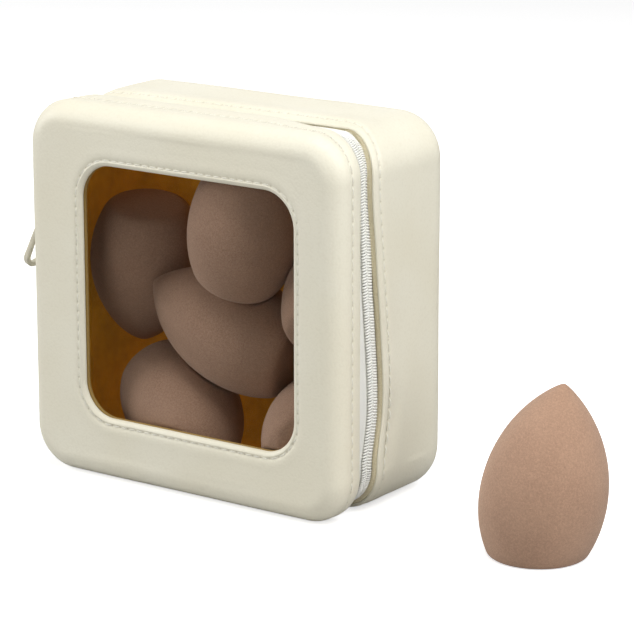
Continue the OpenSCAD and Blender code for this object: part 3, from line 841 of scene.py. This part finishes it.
def lid_skin(case, window, seam):
    """Closed sleeve of the lid's leather cloth.

    The profile starts inside, at the end of the turned-in flap, goes round the fold at the zip, up the side
    wall, over the rolled edge and across the face, rolls in at the window, and comes back on the inside.
    """
    rim, opening = outlines(case, window)
    fold, thick, reach, flap_backs = 3.0, case.skin, 1.75, (6.7, 8.3)
    relief = lid_relief(seam, rim, fold, rim.ways)

    def folded(half_depth, half_length, turns):
        """Half an oval round the fold, from the flap's side to the wall's side."""
        return [rim.ring(reach + half_depth * np.cos(t) + relief * (1 - np.cos(t)) / 2,
                         case.lid_side - fold + half_length * np.sin(t) + shift) for t in turns]

    shift = lid_creep(rim, rim.ways, fold)
    flap = [rim.ring(2 * reach, back + shift) for back in flap_backs]
    outside = folded(reach, fold, np.linspace(0, np.pi, 15))
    pasts = list(np.linspace(fold, case.lid_side - case.front_roll, 13)[1:])
    offsets = [8, 7, 6.1, 5.3, 4.6, 4.0, 3.5, 3.1, 2.8, 2.55, 2.3, 2.1, 1.9, 1.65, 1.4]
    wall, wall_v, wall_offsets = lid_rows(case, window, seam, 0, pasts, offsets)
    lip = window.lip
    turns = quarter(8)
    lips = [opening.ring(-lip * (1 - np.sin(t)), lip * (1 - np.cos(t))) for t in turns]
    lips += [opening.ring(0, lip + 0.08)] + [opening.ring(out, lip + SHEET_ROOM) for out in (-0.35, -1.2)]
    inner = lid_rows(case, window, seam, thick, [fold + 1, 5.4], [5, 2.6, 1.7])[0]
    inside = folded(reach - thick, fold - thick, np.linspace(np.pi, 0, 9))
    end = [rim.ring(2 * reach - thick, back + shift) for back in flap_backs[::-1]]
    points = np.array(flap + outside + wall + lips + inner[::-1] + inside + end)
    count = len(flap) + len(outside)
    past = np.full(len(points), FAR)
    past[:count] = np.concatenate([[-6, -4], np.linspace(-3, fold, len(outside))])
    past[count:count + len(wall)] = wall_v
    offset = np.full(len(points), FAR)
    offset[count:count + len(wall)] = wall_offsets
    offset[count + len(wall):count + len(wall) + len(turns)] = [lip * (1 - np.sin(t)) for t in turns]
    past, offset = (np.append(a, a[0])[:, None] for a in (past, offset))
    seam_pitch, window_pitch = stitch_ways(rim, seam.pitch)[0], stitch_ways(opening, window.stitch_pitch)[0]
    shell = Surface("along", "seam", "window")
    shell.grid(points, True, True, along=uv(rim.closed_ways[None], past),
               seam=uv(rim.closed_ways[None] / seam_pitch, past - seam.lid_row),
               window=uv(opening.closed_ways[None] / window_pitch, offset - window.stitch_gap))
    return shell


def lid_core(case, window, seam):
    """Closed sleeve of the lid's foam, between the skin and the lining, open round the sheet."""
    top, low = case.skin + GLUE, case.skin + GLUE + case.core
    pasts, offsets = [2.2, 3.5, 4.6, 5.4], [8, 6.5, 5.2, 4.6]
    outer = lid_rows(case, window, seam, top, pasts, offsets)[0]
    inner = lid_rows(case, window, seam, low, pasts, offsets)[0]
    shell = Surface()
    shell.grid(np.array(outer + inner[::-1]), True, True)
    return shell


def lid_lining(case, window):
    """Closed sleeve of the lid's lining.

    It lies behind the tape at the zip, steps out to the foam, follows the rolled edge and the face, and is
    rolled round the inner edge of the opening behind the sheet.
    """
    rim, opening = outlines(case, window)
    top, seam_top = case.skin + case.core + 2 * GLUE, 4.2
    low = top + case.lining
    bend_back, bend_depth = 6.6, 7.6
    sunk = COVER_SINK * cover(rim, rim.ways)

    def side(depth, seam_depth, extra):
        """Rows of one side, from the zip to the face."""
        bend = bend_back - extra
        rows = [rim.ring(seam_depth + sunk, back) for back in (12.5, 9.5, bend)]
        turns = quarter(8)
        reach = bend_depth - seam_depth
        rows += [rim.ring(seam_depth + reach * (1 - np.cos(t)) + sunk * np.cos(t),
                          bend - (bend - depth) * np.sin(t)) for t in turns]
        edge, inner = rows[-1], opening.ring(-6.5, depth)
        return rows + [edge + (inner - edge) * share for share in (0.2, 0.5, 0.8, 1)]

    sheet_back = window.lip + SHEET_ROOM + SHEET + SHEET_ROOM
    deep = sheet_back + window.reveal
    roll = [(5.0, low), (4.0, low + 0.25), (3.3, low + 0.75), (2.7, deep - 0.9), (2.0, deep - 0.3),
            (1.3, deep), (0.7, deep - 0.2), (0.25, deep - 0.65), (0.0, deep - 1.3), (0.0, sheet_back + 0.4),
            (0.25, sheet_back), (1.0, sheet_back), (3.5, sheet_back + 0.05), (5.0, top)]
    rolled = [opening.ring(-offset, back) for offset, back in roll]
    points = np.array(side(low, seam_top + case.lining, 0.5) + rolled + side(top, seam_top, 0)[::-1])
    shell = Surface()
    shell.grid(points, True, True)
    return shell


# The zip and the stitches

def wire_ring(line, radius, sides):
    """Rings of a round wire round a line of (along, across, height).

    Each ring is radius times the cosine and sine of its turn along two directions square to the line, the
    first of them as near as it can be to the along or, on a line that runs along, to the across direction.
    """
    ahead = np.gradient(line, axis=0)
    ahead /= np.linalg.norm(ahead, axis=1, keepdims=True)
    lengthwise = np.abs(ahead[:, :1]).mean() > 0.7
    first = np.array([[0.0, 1.0, 0.0]]) if lengthwise else np.array([[1.0, 0.0, 0.0]])
    first = first - ahead * (ahead @ first[0])[:, None]
    first /= np.linalg.norm(first, axis=1, keepdims=True)
    second = np.cross(ahead, first)
    turn = np.linspace(0, 2 * np.pi, sides, endpoint=False)[None, :, None]
    radius = np.broadcast_to(radius, len(line))[:, None, None]
    return line[:, None] + radius * (first[:, None] * np.cos(turn) + second[:, None] * np.sin(turn))


def stitch_row(name, material, seam, pitch, ways, place):
    """A row of stitches: each is a short arch of thread that dives into the cloth at both ends.

    Along the stitch u runs from -1 to 1, the height falls with the 3.5th power of u and the thread thins
    towards its ends. place gives the points at a way along the row, a distance across it and a height.
    """
    half_share, arch, dive, thinning, sides = 0.36, 0.12, 0.5, 0.75, 7
    u = np.linspace(-1, 1, 9)
    line = np.stack([u * pitch * half_share, np.zeros_like(u), arch - dive * np.abs(u) ** 3.5], -1)
    ring = wire_ring(line, seam.thread * np.sqrt(1 - thinning * np.abs(u) ** 6), sides)
    wires = place(ways[:, None, None] + ring[..., 0], ring[..., 1], ring[..., 2])
    thread = Surface("along")
    along = uv(line[:, :1], np.linspace(0, 1, sides + 1)[None])
    for wire in wires:
        closed_tube(thread, wire, along=along)
    return thread.build(name, material)


def zip_ends(seam, rim, room):
    """Ways along the rim where the zip starts and ends, past the hinge under the case."""
    half = seam.hinge / 2 + room
    middle = rim.starts[7] - rim.parts[6] / 2
    return middle + half - rim.length, middle - half


def zip_tape(case, seam, rim, side):
    """Ribbon of one half of the tape: a flat oval profile carried from one end of the zip to the other.

    The lid's half follows the zip's creep less and less away from the zip's line, and not past its reach.
    """
    start, end = zip_ends(seam, rim, GLUE * 2)
    ways, columns, reach = np.linspace(start, end, 520), 12, 14
    line = case.lid_side + seam.zip_line
    near, far = SELVAGE, seam.zip_line + LID_TAPE_LAP if side < 0 else TUB_TAPE_REACH
    top = seam.sink + seam.coil_height + GLUE
    across = np.concatenate([np.linspace(near, far, columns), np.linspace(far, near, columns)])
    low = np.repeat([0.0, seam.tape], columns)
    low[[0, columns - 1, columns, -1]] += np.array([SELVAGE, SELVAGE, -SELVAGE, -SELVAGE])
    sunk, shift = COVER_SINK * cover(rim, ways), zip_creep(rim, ways)
    follow = np.clip(1 - across / reach, 0, 1) if side < 0 else np.ones(2 * columns)
    points = rim.at(ways[None], top + low[:, None] + sunk[None],
                    line + side * across[:, None] + shift[None] * follow[:, None])
    shell = Surface("along")
    closed_ribbon(shell, points, along=uv(ways[None], np.append(across, across[0])[:, None]))
    return shell


def zip_coil(case, seam, rim, side):
    """Wire of one half of the coil: an oval helix along the rim, half a pitch ahead on the tub's side.

    Across is the middle plus half the reach times the cosine, height is half the height times the sine, and
    the way grows by one pitch each turn. Its inner bends pass a little over the zip's line.
    """
    clear, inward, hook, flat_share, sides = 0.4, 0.12, 0.1, 0.6, 5
    start, end = zip_ends(seam, rim, seam.stop_room + clear)
    turns, steps = int((end - start) / seam.coil_pitch), 12
    turn = np.arange(turns * steps + 1) / steps
    angle = 2 * np.pi * turn
    middle, half = seam.coil_reach / 2 - inward, seam.coil_reach / 2 + hook - seam.wire
    tall = seam.coil_height / 2 - seam.wire * flat_share
    line = np.stack([(turn + (0.5 if side > 0 else 0)) * seam.coil_pitch,
                     side * (middle + half * np.cos(angle)), tall * np.sin(angle)], -1)
    ring = wire_ring(line, seam.wire, sides)
    way = (start + line[:, 0])[:, None]
    sink = seam.sink + seam.coil_height / 2 + COVER_SINK * cover(rim, way)
    back = case.lid_side + seam.zip_line + zip_creep(rim, way)
    shell = Surface()
    closed_tube(shell, rim.at(start + ring[..., 0], sink - ring[..., 2], back + ring[..., 1]))
    return shell


def hinge_strip(case, seam, rim):
    """Cloth hinge under the case: a ribbon from under the lid's edge over the zip's line to the tub."""
    middle = rim.starts[7] - rim.parts[6] / 2
    ways = middle + np.linspace(-seam.hinge / 2, seam.hinge / 2, 61)
    line = case.lid_side + seam.zip_line
    lid_reach, tub_reach = 12.5, 7.4
    fold_depth, fold_start, fold_reach = 1.15, 1.2, 2.4
    puff_height, puff_wave, puff_reach = 0.06, 2.1, 3
    across = np.linspace(-lid_reach, tub_reach, 34)
    top = seam.sink + fold_depth * step((np.abs(across) - fold_start) / fold_reach)
    puff = puff_height * np.sin(ways[None] / puff_wave) * bell(across[:, None], puff_reach)
    upper = rim.at(ways[None], top[:, None] + puff, line + across[:, None])
    lower = rim.at(ways[None], top[:, None] + seam.tape + puff, line + across[:, None])
    points = np.concatenate([upper, lower[::-1]])
    shell = Surface("along")
    closed_ribbon(shell, points, along=uv(ways[None],
                                          np.concatenate([across, across[::-1], across[:1]])[:, None]))
    return shell


# The sponges

# For each packed sponge: its widest place, the lean of its tip from upright and the way its tip points
PACKED = {
    "sponge_top_left": ((-40.5, 3.7, 68.5), 157, 135),
    "sponge_top_right": ((11.7, -9.7, 87.5), 16, -18),
    "sponge_middle": ((4.1, -3.5, 50.3), 66, 190),
    "sponge_bottom_left": ((-18.5, -6.1, 22.6), 109, -28),
    "sponge_right": ((41.0, 3.4, 68.5), 43, 96),
    "sponge_bottom_right": ((38.5, -6.0, 22.0), 84, 114),
}
LOOSE_PLACE, LOOSE_TURN = (122.6, -11.8), 219


def turned(points, axis, degrees):
    """Points turned about the Y or the Z axis."""
    a = np.radians(degrees)
    c, s = np.cos(a), np.sin(a)
    x, y, z = np.moveaxis(points, -1, 0)
    if axis == "Y":
        return np.stack([x * c + z * s, y, z * c - x * s], -1)
    return np.stack([x * c - y * s, x * s + y * c, z], -1)


def bow(sponge):
    """Radius of the arc from the widest place to the tip."""
    return (sponge.tip ** 2 + sponge.radius ** 2) / (2 * sponge.radius)


def outline_radius(sponge, z):
    """Radius of a sponge at a height: an arc above the widest place, an oval below it, none past its ends."""
    arc = bow(sponge)
    above = np.sqrt(np.maximum(arc ** 2 - np.clip(z, 0, None) ** 2, 0)) - arc + sponge.radius
    below = sponge.radius * np.sqrt(np.maximum(1 - (np.clip(z, None, 0) / sponge.belly) ** 2, 0))
    return np.where(z > 0, np.maximum(above, 0), below)


def round_axis(r, z, turn):
    """Points at a radius and a height, at every turn round the axis."""
    return np.stack(np.broadcast_arrays(r * np.cos(turn), r * np.sin(turn), z), -1)


def sponge_points(sponge, base_length, rim_reach, around=150):
    """Rows of points of one sponge on its own axis, from its tip to the middle of its cut base.

    The tip's arc is rounded by reading its height at the root of (radius squared plus the wear squared). The
    cut is slanted, so each meridian ends where the oval meets the slanted plane. The corner there is a
    quadratic curve between the wall and the base, and the base runs straight to its middle.
    """
    turn = np.linspace(0, 2 * np.pi, around, endpoint=False)
    arc, radius = bow(sponge), sponge.radius
    phi = np.arcsin(sponge.tip / arc) * (1 - np.linspace(0, 1, 46) ** 1.25)
    r = np.maximum(arc * np.cos(phi) - arc + radius, 0)
    worn = np.sqrt(r ** 2 + sponge.soft_tip ** 2 * (1 - r / radius))
    z = np.sqrt(np.maximum(arc ** 2 - (worn + arc - radius) ** 2, 0))
    z[-1] = 0
    top = round_axis(r[:, None], z[:, None], turn)[1:]
    depth = np.full(around, base_length)
    for _ in range(12):
        depth = base_length + outline_radius(sponge, -depth) * np.cos(turn) * np.tan(sponge.slant)
    rim = round_axis(outline_radius(sponge, -depth), -depth, turn)
    shares = np.linspace(0, 1, 26)[1:]
    fall = depth[None] * shares[:, None] * (1 - rim_reach / depth[None])
    wall = round_axis(outline_radius(sponge, -fall), -fall, turn)
    middle = np.array([0, 0, -base_length])
    inward = middle - rim
    inward /= np.linalg.norm(inward, axis=1, keepdims=True)
    t = np.linspace(0, 1, 8)[1:, None, None]
    last, first = wall[-1], rim + inward * rim_reach
    corner = (1 - t) ** 2 * last + 2 * t * (1 - t) * rim + t ** 2 * first
    flat = first + (middle - first) * np.linspace(0, 0.97, 12)[1:, None, None]
    return np.concatenate([top, wall, corner, flat])


def unevenness(points, seed):
    """Gentle hand-made unevenness: each point moves out or in by up to 0.18 mm, by
    three crossed waves."""
    x, y, z = np.moveaxis(points, -1, 0)
    wave = (np.sin(x / 5.3 + seed) * np.sin(y / 6.1 + 2 * seed) + np.sin(z / 7.7 + x / 9.0 + seed)
            + np.sin(y / 4.6 - z / 8.3 + 3 * seed)) / 3
    middle = np.array([0, 0, -2.0])
    out = points - middle
    out /= np.linalg.norm(out, axis=-1, keepdims=True)
    return points + out * (0.18 * wave)[..., None]


def put(points, sponge, place):
    """Moves points from a packed sponge's own axis to its place."""
    middle, lean, way = place
    return turned(turned(points * sponge.squeeze, "Y", lean), "Z", way) + np.array(middle)


def unput(points, sponge, place):
    """Moves points from the case back to a packed sponge's own axis."""
    middle, lean, way = place
    return turned(turned(points - np.array(middle), "Z", -way), "Y", -lean) / sponge.squeeze


def dented(points, sponge, place):
    """Pushes points out of another packed sponge, by the shorter way: past its side or past its base."""
    own = unput(points, sponge, place)
    r = np.hypot(own[..., 0], own[..., 1])
    room, soft = 0.3, 0.35
    side = outline_radius(sponge, own[..., 2]) + room - r
    side = np.where(own[..., 2] > sponge.tip, -9, side)
    cut = np.array([np.sin(sponge.slant), 0, np.cos(sponge.slant)])
    below = own @ cut + sponge.packed_base * np.cos(sponge.slant) + room
    depth = soft * np.logaddexp(0, np.minimum(side, below) / soft)
    beside = np.stack([own[..., 0] / (r + 1e-6), own[..., 1] / (r + 1e-6), np.zeros_like(r)], -1)
    own = own + np.where((side < below)[..., None], beside, -cut) * depth[..., None]
    return put(own, sponge, place)


def in_room(points, case, window):
    """Keeps points off the linings, the seam and the sheet, with round corners where they press."""
    x, y, z = np.moveaxis(points, -1, 0)
    back = y + case.depth / 2
    room, press, sheet_press, sheet_room = 0.2, 0.5, 0.25, 0.35
    seam_start, seam_end, seam_fade, seam_room = 4, 30, 3, 2.1
    face_start, face_fade, face_room, frame_start, frame_fade = 2, 5, 4, 1.0, 1.6
    lined = case.skin + case.core + 2 * GLUE + case.lining + room
    near_seam = step((back - seam_start) / seam_fade) * fade(back, seam_end, seam_fade)
    tight = lined + near_seam * seam_room + face_room * fade(back, face_start, face_fade)
    half = case.width / 2 - tight
    x = at_least(at_most(x, half, press), -half, press)
    z = at_least(at_most(z, case.height - tight, press), tight, press)
    off_x = np.abs(x - window.right) - window.width / 2
    off_z = np.abs(z - case.height / 2 - window.up) - window.height / 2
    framed = step((np.maximum(off_x, off_z) + frame_start) / frame_fade)
    front = window.lip + SHEET_ROOM + SHEET + sheet_room + framed * (window.reveal + SHEET_ROOM)
    y = at_least(y, front - case.depth / 2, sheet_press)
    y = at_most(y, case.depth / 2 - lined, press)
    return np.stack([x, y, z], -1)


# Operators

class DressTub(bpy.types.Operator):
    """Builds the tub's leather cloth, foam and lining"""
    bl_idname = "sponge_set.dress_tub"
    bl_label = "Tub"

    def execute(self, context):
        case, window, seam, _ = sizes()
        hues = context.scene.sponge_set_colours
        top = case.skin + GLUE
        low = top + case.core
        skin = tub_layer(case, window, seam, top=0, low=case.skin, edge=0, bulge=0.9, top_step=0, low_step=0)
        core = tub_layer(case, window, seam, top, low, edge=0.05, bulge=0.25, top_step=0, low_step=0.1,
                         recess=0.6)
        lining = tub_layer(case, window, seam, low + GLUE, low + GLUE + case.lining, edge=0.6, bulge=0.9,
                           top_step=1.55, low_step=1.55)
        declare(skin.build("tub_leather", leather_cloth("tub_cloth", hues, ["seam"])),
                "tub", "tub_skin", "case_cloth")
        declare(core.build("tub_foam", stiff_foam(hues)), "tub", "tub_core", "case_foam")
        declare(lining.build("tub_lining_cloth", lining_cloth(hues)), "tub", "tub_lining", "lining_cloth")
        return {"FINISHED"}


class DressLid(bpy.types.Operator):
    """Builds the lid's leather cloth, foam and lining"""
    bl_idname = "sponge_set.dress_lid"
    bl_label = "Lid"

    def execute(self, context):
        case, window, seam, _ = sizes()
        hues = context.scene.sponge_set_colours
        # The lid's foam and lining wear the plain materials that came with the solids
        plain = bpy.data.materials
        cloth = leather_cloth("lid_cloth", hues, ["seam", "window"])
        for shape, name, node, slot, material in (
                (lid_skin(case, window, seam), "lid_leather", "lid_skin", "case_cloth", cloth),
                (lid_core(case, window, seam), "lid_foam", "lid_core", "case_foam", plain["case_foam"]),
                (lid_lining(case, window), "lid_lining_cloth", "lid_lining", "lining_cloth",
                 plain["lining_cloth"])):
            declare(shape.build(name, material), "lid", node, slot)
        return {"FINISHED"}


class DressWindow(bpy.types.Operator):
    """Gives the window's sheet its clear material"""
    bl_idname = "sponge_set.dress_window"
    bl_label = "Window"

    def execute(self, context):
        paint(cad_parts["window_pane"].data, clear_sheet())
        return {"FINISHED"}


class SewStitches(bpy.types.Operator):
    """Builds the rows of stitches beside the zip and round the window"""
    bl_idname = "sponge_set.sew_stitches"
    bl_label = "Stitches"

    def execute(self, context):
        case, window, seam, _ = sizes()
        rim, opening = outlines(case, window)
        thread = twisted_thread(context.scene.sponge_set_colours)
        pitch, number = stitch_ways(rim, seam.pitch)
        ways = (np.arange(number) + 0.5) * pitch
        bottom = (ways > rim.starts[6] - rim.radius * 0.9) & (ways < rim.length - rim.radius * 0.3)
        ways = ways[~bottom]
        window_pitch, number = stitch_ways(opening, window.stitch_pitch)
        window_ways = (np.arange(number) + 0.5) * window_pitch
        lid_back, tub_back = case.lid_side - seam.lid_row, case.lid_side + seam.zip_gap + seam.tub_row

        def on_lid(way, across, height):
            return rim.at(way, LID_THREAD_SINK - height,
                          lid_back + across + lid_creep(rim, way, seam.lid_row))

        def on_tub(way, across, height):
            return rim.at(way, TUB_THREAD_SINK + tub_dip(way, seam.tub_row) - height,
                          tub_back + across + creep(rim, way))

        def on_face(way, across, height):
            return opening.at(way, across - window.stitch_gap, FACE_THREAD_SINK - height)

        for name, node, body, row_pitch, row_ways, place in (
                ("lid_thread", "lid_seam_stitches", "lid", pitch, ways, on_lid),
                ("tub_thread", "tub_seam_stitches", "tub", pitch, ways, on_tub),
                ("window_thread", "window_stitches", "lid", window_pitch, window_ways, on_face)):
            declare(stitch_row(name, thread, seam, row_pitch, row_ways, place), body, node, "thread")
        return {"FINISHED"}


class FitZip(bpy.types.Operator):
    """Builds the zip's tapes, coils and cloth hinge, and finishes its stops"""
    bl_idname = "sponge_set.fit_zip"
    bl_label = "Zip"

    def execute(self, context):
        case, window, seam, _ = sizes()
        hues = context.scene.sponge_set_colours
        rim = outlines(case, window)[0]
        tape, nylon = woven_tape(hues), coil_nylon(hues)
        for body, side in (("lid", -1), ("tub", 1)):
            declare(zip_tape(case, seam, rim, side).build(f"{body}_tape", tape),
                    body, f"{body}_zip_tape", "zip_tape")
            declare(zip_coil(case, seam, rim, side).build(f"{body}_coil", nylon),
                    body, f"{body}_zip_coil", "zip_coil")
        strip = hinge_strip(case, seam, rim).build("hinge_cloth", tape)
        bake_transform(strip)
        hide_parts("tub_hinge_leaf", "lid_hinge_leaf")
        metal = satin_enamel("zip_metal", hues.metal, 1.0, 0.3)
        for node in ("lid_zip_stops", "tub_zip_stops"):
            paint(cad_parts[node].data, metal)
        return {"FINISHED"}


class FinishSlider(bpy.types.Operator):
    """Rounds the edges of copies of the slider and its pull, and gives them their enamel"""
    bl_idname = "sponge_set.finish_slider"
    bl_label = "Slider and pull"

    def execute(self, context):
        enamel = satin_enamel("pull_enamel", context.scene.sponge_set_colours.pull, 0.0, 0.5)
        for node, name, body, round_mm in (("zip_slider", "slider_body", "slider", 0.25),
                                           ("pull_tab", "pull_plate", "pull", 0.45)):
            bm = bmesh.new()
            bm.from_mesh(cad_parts[node].data)
            bmesh.ops.remove_doubles(bm, verts=bm.verts, dist=0.002 * MM)
            bmesh.ops.dissolve_limit(bm, angle_limit=np.radians(1.0), verts=bm.verts, edges=bm.edges)
            mesh = bpy.data.meshes.new(name)
            bm.to_mesh(mesh)
            bm.free()
            mesh.shade_smooth()
            piece = show(name, mesh, enamel)
            bevel = piece.modifiers.new("round_edges", "BEVEL")
            bevel.width, bevel.segments = round_mm * MM, 3
            bevel.limit_method, bevel.angle_limit = "ANGLE", np.radians(40)
            bevel.harden_normals = True
            declare(piece, body, node, "pull_metal")
        return {"FINISHED"}


class PackSponges(bpy.types.Operator):
    """Builds the six sponges in the case and the loose one beside it"""
    bl_idname = "sponge_set.pack_sponges"
    bl_label = "Sponges"

    def execute(self, context):
        case, window, _, sponge = sizes()
        foam = sponge_foam(context.scene.sponge_set_colours)
        free = sponge_points(sponge, sponge.packed_base, sponge.packed_rim)
        done = []
        for seed, (node, place) in enumerate(PACKED.items(), 1):
            points = put(unevenness(free, seed), sponge, place)
            for _ in range(2):
                for earlier in done:
                    points = dented(points, sponge, earlier)
                points = in_room(points, case, window)
            done.append(place)
            self.place_sponge(points, node.replace("sponge", "foam"), foam, "tub", node)
        loose = sponge_points(sponge, sponge.base, sponge.soft_rim)
        lean = turned(unevenness(loose, 0.3), "Y", -np.degrees(sponge.slant))
        lean = lean + np.array([-np.sin(sponge.slant), 0, np.cos(sponge.slant)]) * sponge.base
        points = turned(lean, "Z", LOOSE_TURN) + np.array([*LOOSE_PLACE, 0])
        points[..., 2] = at_least(points[..., 2], 0.0, 0.02)
        self.place_sponge(points, "foam_loose", foam, "loose", "loose_sponge")
        return {"FINISHED"}

    @staticmethod
    def place_sponge(points, name, foam, body, node):
        """Builds one sponge from rows of points between its tip and the middle of its base."""
        shell = Surface()
        closed_tube(shell, points)
        piece = shell.build(name, foam)
        declare(piece, body, node, "sponge_foam")


class SetStage(bpy.types.Operator):
    """Sets the floor, the lights and the camera"""
    bl_idname = "sponge_set.set_stage"
    bl_label = "Stage"

    def execute(self, context):
        scene = context.scene
        scene.view_settings.view_transform = "Standard"
        floor = Surface()
        across = np.array([-FLOOR_REACH, FLOOR_REACH])
        floor.grid(np.stack(np.meshgrid(across, across, indexing="ij") + [np.full((2, 2), -FLOOR_SINK)], -1))
        floor.build("floor", floor_paint(scene.sponge_set_colours), outward=False)
        set_world(scene)
        for light in LIGHTS:
            add_light(*light)
        add_camera(scene)
        return {"FINISHED"}


# Each light: name, way it lies from the set as (right, front, up), and power in watts
LIGHTS = (
    ("top_light", (0.10, 0.15, 0.98), 10.3),
    ("top_right_light", (0.70, 0.05, 0.71), 10.2),
    ("right_light", (0.95, 0.15, 0.25), 4.5),
    ("front_light", (0.05, 0.97, 0.22), 3.3),
    ("left_light", (-0.85, 0.42, 0.35), 10.4),
)
LIGHT_AIM, LIGHT_DISTANCE, LIGHT_SIDE = (25, 0, 55), 1400, 700
SKY_STRENGTH, FLOOR_BOUNCE, FLOOR_GLOW = 0.02, 0.46, 0.62
FLOOR_REACH, FLOOR_SINK = 4000.0, 0.05
CAMERA_PLACE, CAMERA_AIM = (570.7, -746.4, 294.0), (22.2, 14.5, 54.4)
# Focal length and picture width in pixels, sensor width in mm, and how far the camera sees in metres
FOCAL_PIXELS, PHOTO_PIXELS, SENSOR, SIGHT = 2955.4, 634, 36.0, 20


def floor_paint(hues):
    """White floor for the camera that keeps shadows, and a greyer one for the light it throws back."""
    finish = Finish("floor_paint", roughness=0.9, specular_ior_level=0.0)
    path = finish.node("ShaderNodeLightPath")
    cloud = finish.noise(size=900, detail=1.0)
    finish.set("Base Color", finish.mix(cloud * 0.05, hues.floor, toned(hues.floor, 0.98)))
    finish.set("Emission Color", (1, 1, 1))
    finish.set("Emission Strength", FLOOR_GLOW)
    dull = finish.node("ShaderNodeBsdfDiffuse", None, {"Color": (FLOOR_BOUNCE,) * 3})
    seen = Wire(finish, path.outputs["Is Camera Ray"])
    mixed = finish.node("ShaderNodeMixShader", None,
                        {0: seen, 1: dull.outputs[0], 2: finish.shader.outputs[0]})
    finish.feed(finish.output.inputs["Surface"], mixed.outputs[0])
    return finish.material


def set_world(scene):
    """White world for the camera, in gloss and through the sheet, and a soft even light for all else."""
    scene.world = bpy.data.worlds.new("studio")
    scene.world.use_nodes = True
    tree = Tree(scene.world.node_tree)
    path = tree.node("ShaderNodeLightPath").outputs
    seen = Wire(tree, path["Is Camera Ray"])
    for ray in ("Is Transmission Ray", "Is Glossy Ray"):
        seen = seen.maths("MAXIMUM", seen, path[ray])
    level = tree.wire("ShaderNodeMapRange", None, {"Value": seen, "To Min": SKY_STRENGTH})
    sky = tree.node("ShaderNodeBackground", None, {"Color": (1, 1, 1), "Strength": level})
    tree.node("ShaderNodeOutputWorld", None, {"Surface": sky.outputs[0]})


def aim(thing, place, target):
    """Puts a light or camera at a place in millimetres and turns it to a target."""
    place, target = Vector(place) * MM, Vector(target) * MM
    thing.location = place
    thing.rotation_euler = (target - place).to_track_quat("-Z", "Y").to_euler()


def add_light(name, way, power):
    """A square soft light that lies its distance away from the set and faces it."""
    data = bpy.data.lights.new(name, "AREA")
    data.size, data.energy = LIGHT_SIDE * MM, power
    light = bpy.data.objects.new(name, data)
    bpy.context.scene.collection.objects.link(light)
    right, front, up = way
    place = Vector(LIGHT_AIM) + Vector((right, -front, up)).normalized() * LIGHT_DISTANCE
    aim(light, place, LIGHT_AIM)


def add_camera(scene):
    """The camera at the photograph's angle, with its focal length worked out from pixels."""
    data = bpy.data.cameras.new("camera")
    data.sensor_fit, data.sensor_width = "HORIZONTAL", SENSOR
    data.lens = FOCAL_PIXELS / PHOTO_PIXELS * SENSOR
    data.clip_end = SIGHT
    camera = bpy.data.objects.new("camera", data)
    scene.collection.objects.link(camera)
    aim(camera, CAMERA_PLACE, CAMERA_AIM)
    scene.camera = camera


class SpongeSetPanel(bpy.types.Panel):
    """Lists the steps and the sizes"""
    bl_idname = "VIEW3D_PT_sponge_set"
    bl_label = "Sponge set"
    bl_space_type = "VIEW_3D"
    bl_region_type = "UI"
    bl_category = "Sponge set"

    def draw(self, context):
        for name in GROUPS:
            box = self.layout.box()
            group = getattr(context.scene, name)
            for key in type(group).__annotations__:
                box.prop(group, key)
        for operator in OPERATORS:
            self.layout.operator(operator.bl_idname)


OPERATORS = (DressTub, DressLid, DressWindow, SewStitches, FitZip, FinishSlider, PackSponges, SetStage)
GROUPS = {"case_sizes": CaseSizes, "window_sizes": WindowSizes, "seam_sizes": SeamSizes,
          "sponge_sizes": SpongeSizes, "sponge_set_colours": Colours}


def register():
    for cls in (*GROUPS.values(), *OPERATORS, SpongeSetPanel):
        bpy.utils.register_class(cls)
    for name, group in GROUPS.items():
        setattr(bpy.types.Scene, name, PointerProperty(type=group))


def unregister():
    for name in GROUPS:
        delattr(bpy.types.Scene, name)
    for cls in (SpongeSetPanel, *OPERATORS[::-1], *list(GROUPS.values())[::-1]):
        bpy.utils.unregister_class(cls)


def main():
    register()
    for operator in OPERATORS:
        group, name = operator.bl_idname.split(".")
        getattr(getattr(bpy.ops, group), name)()


if __name__ == "__main__":
    main()
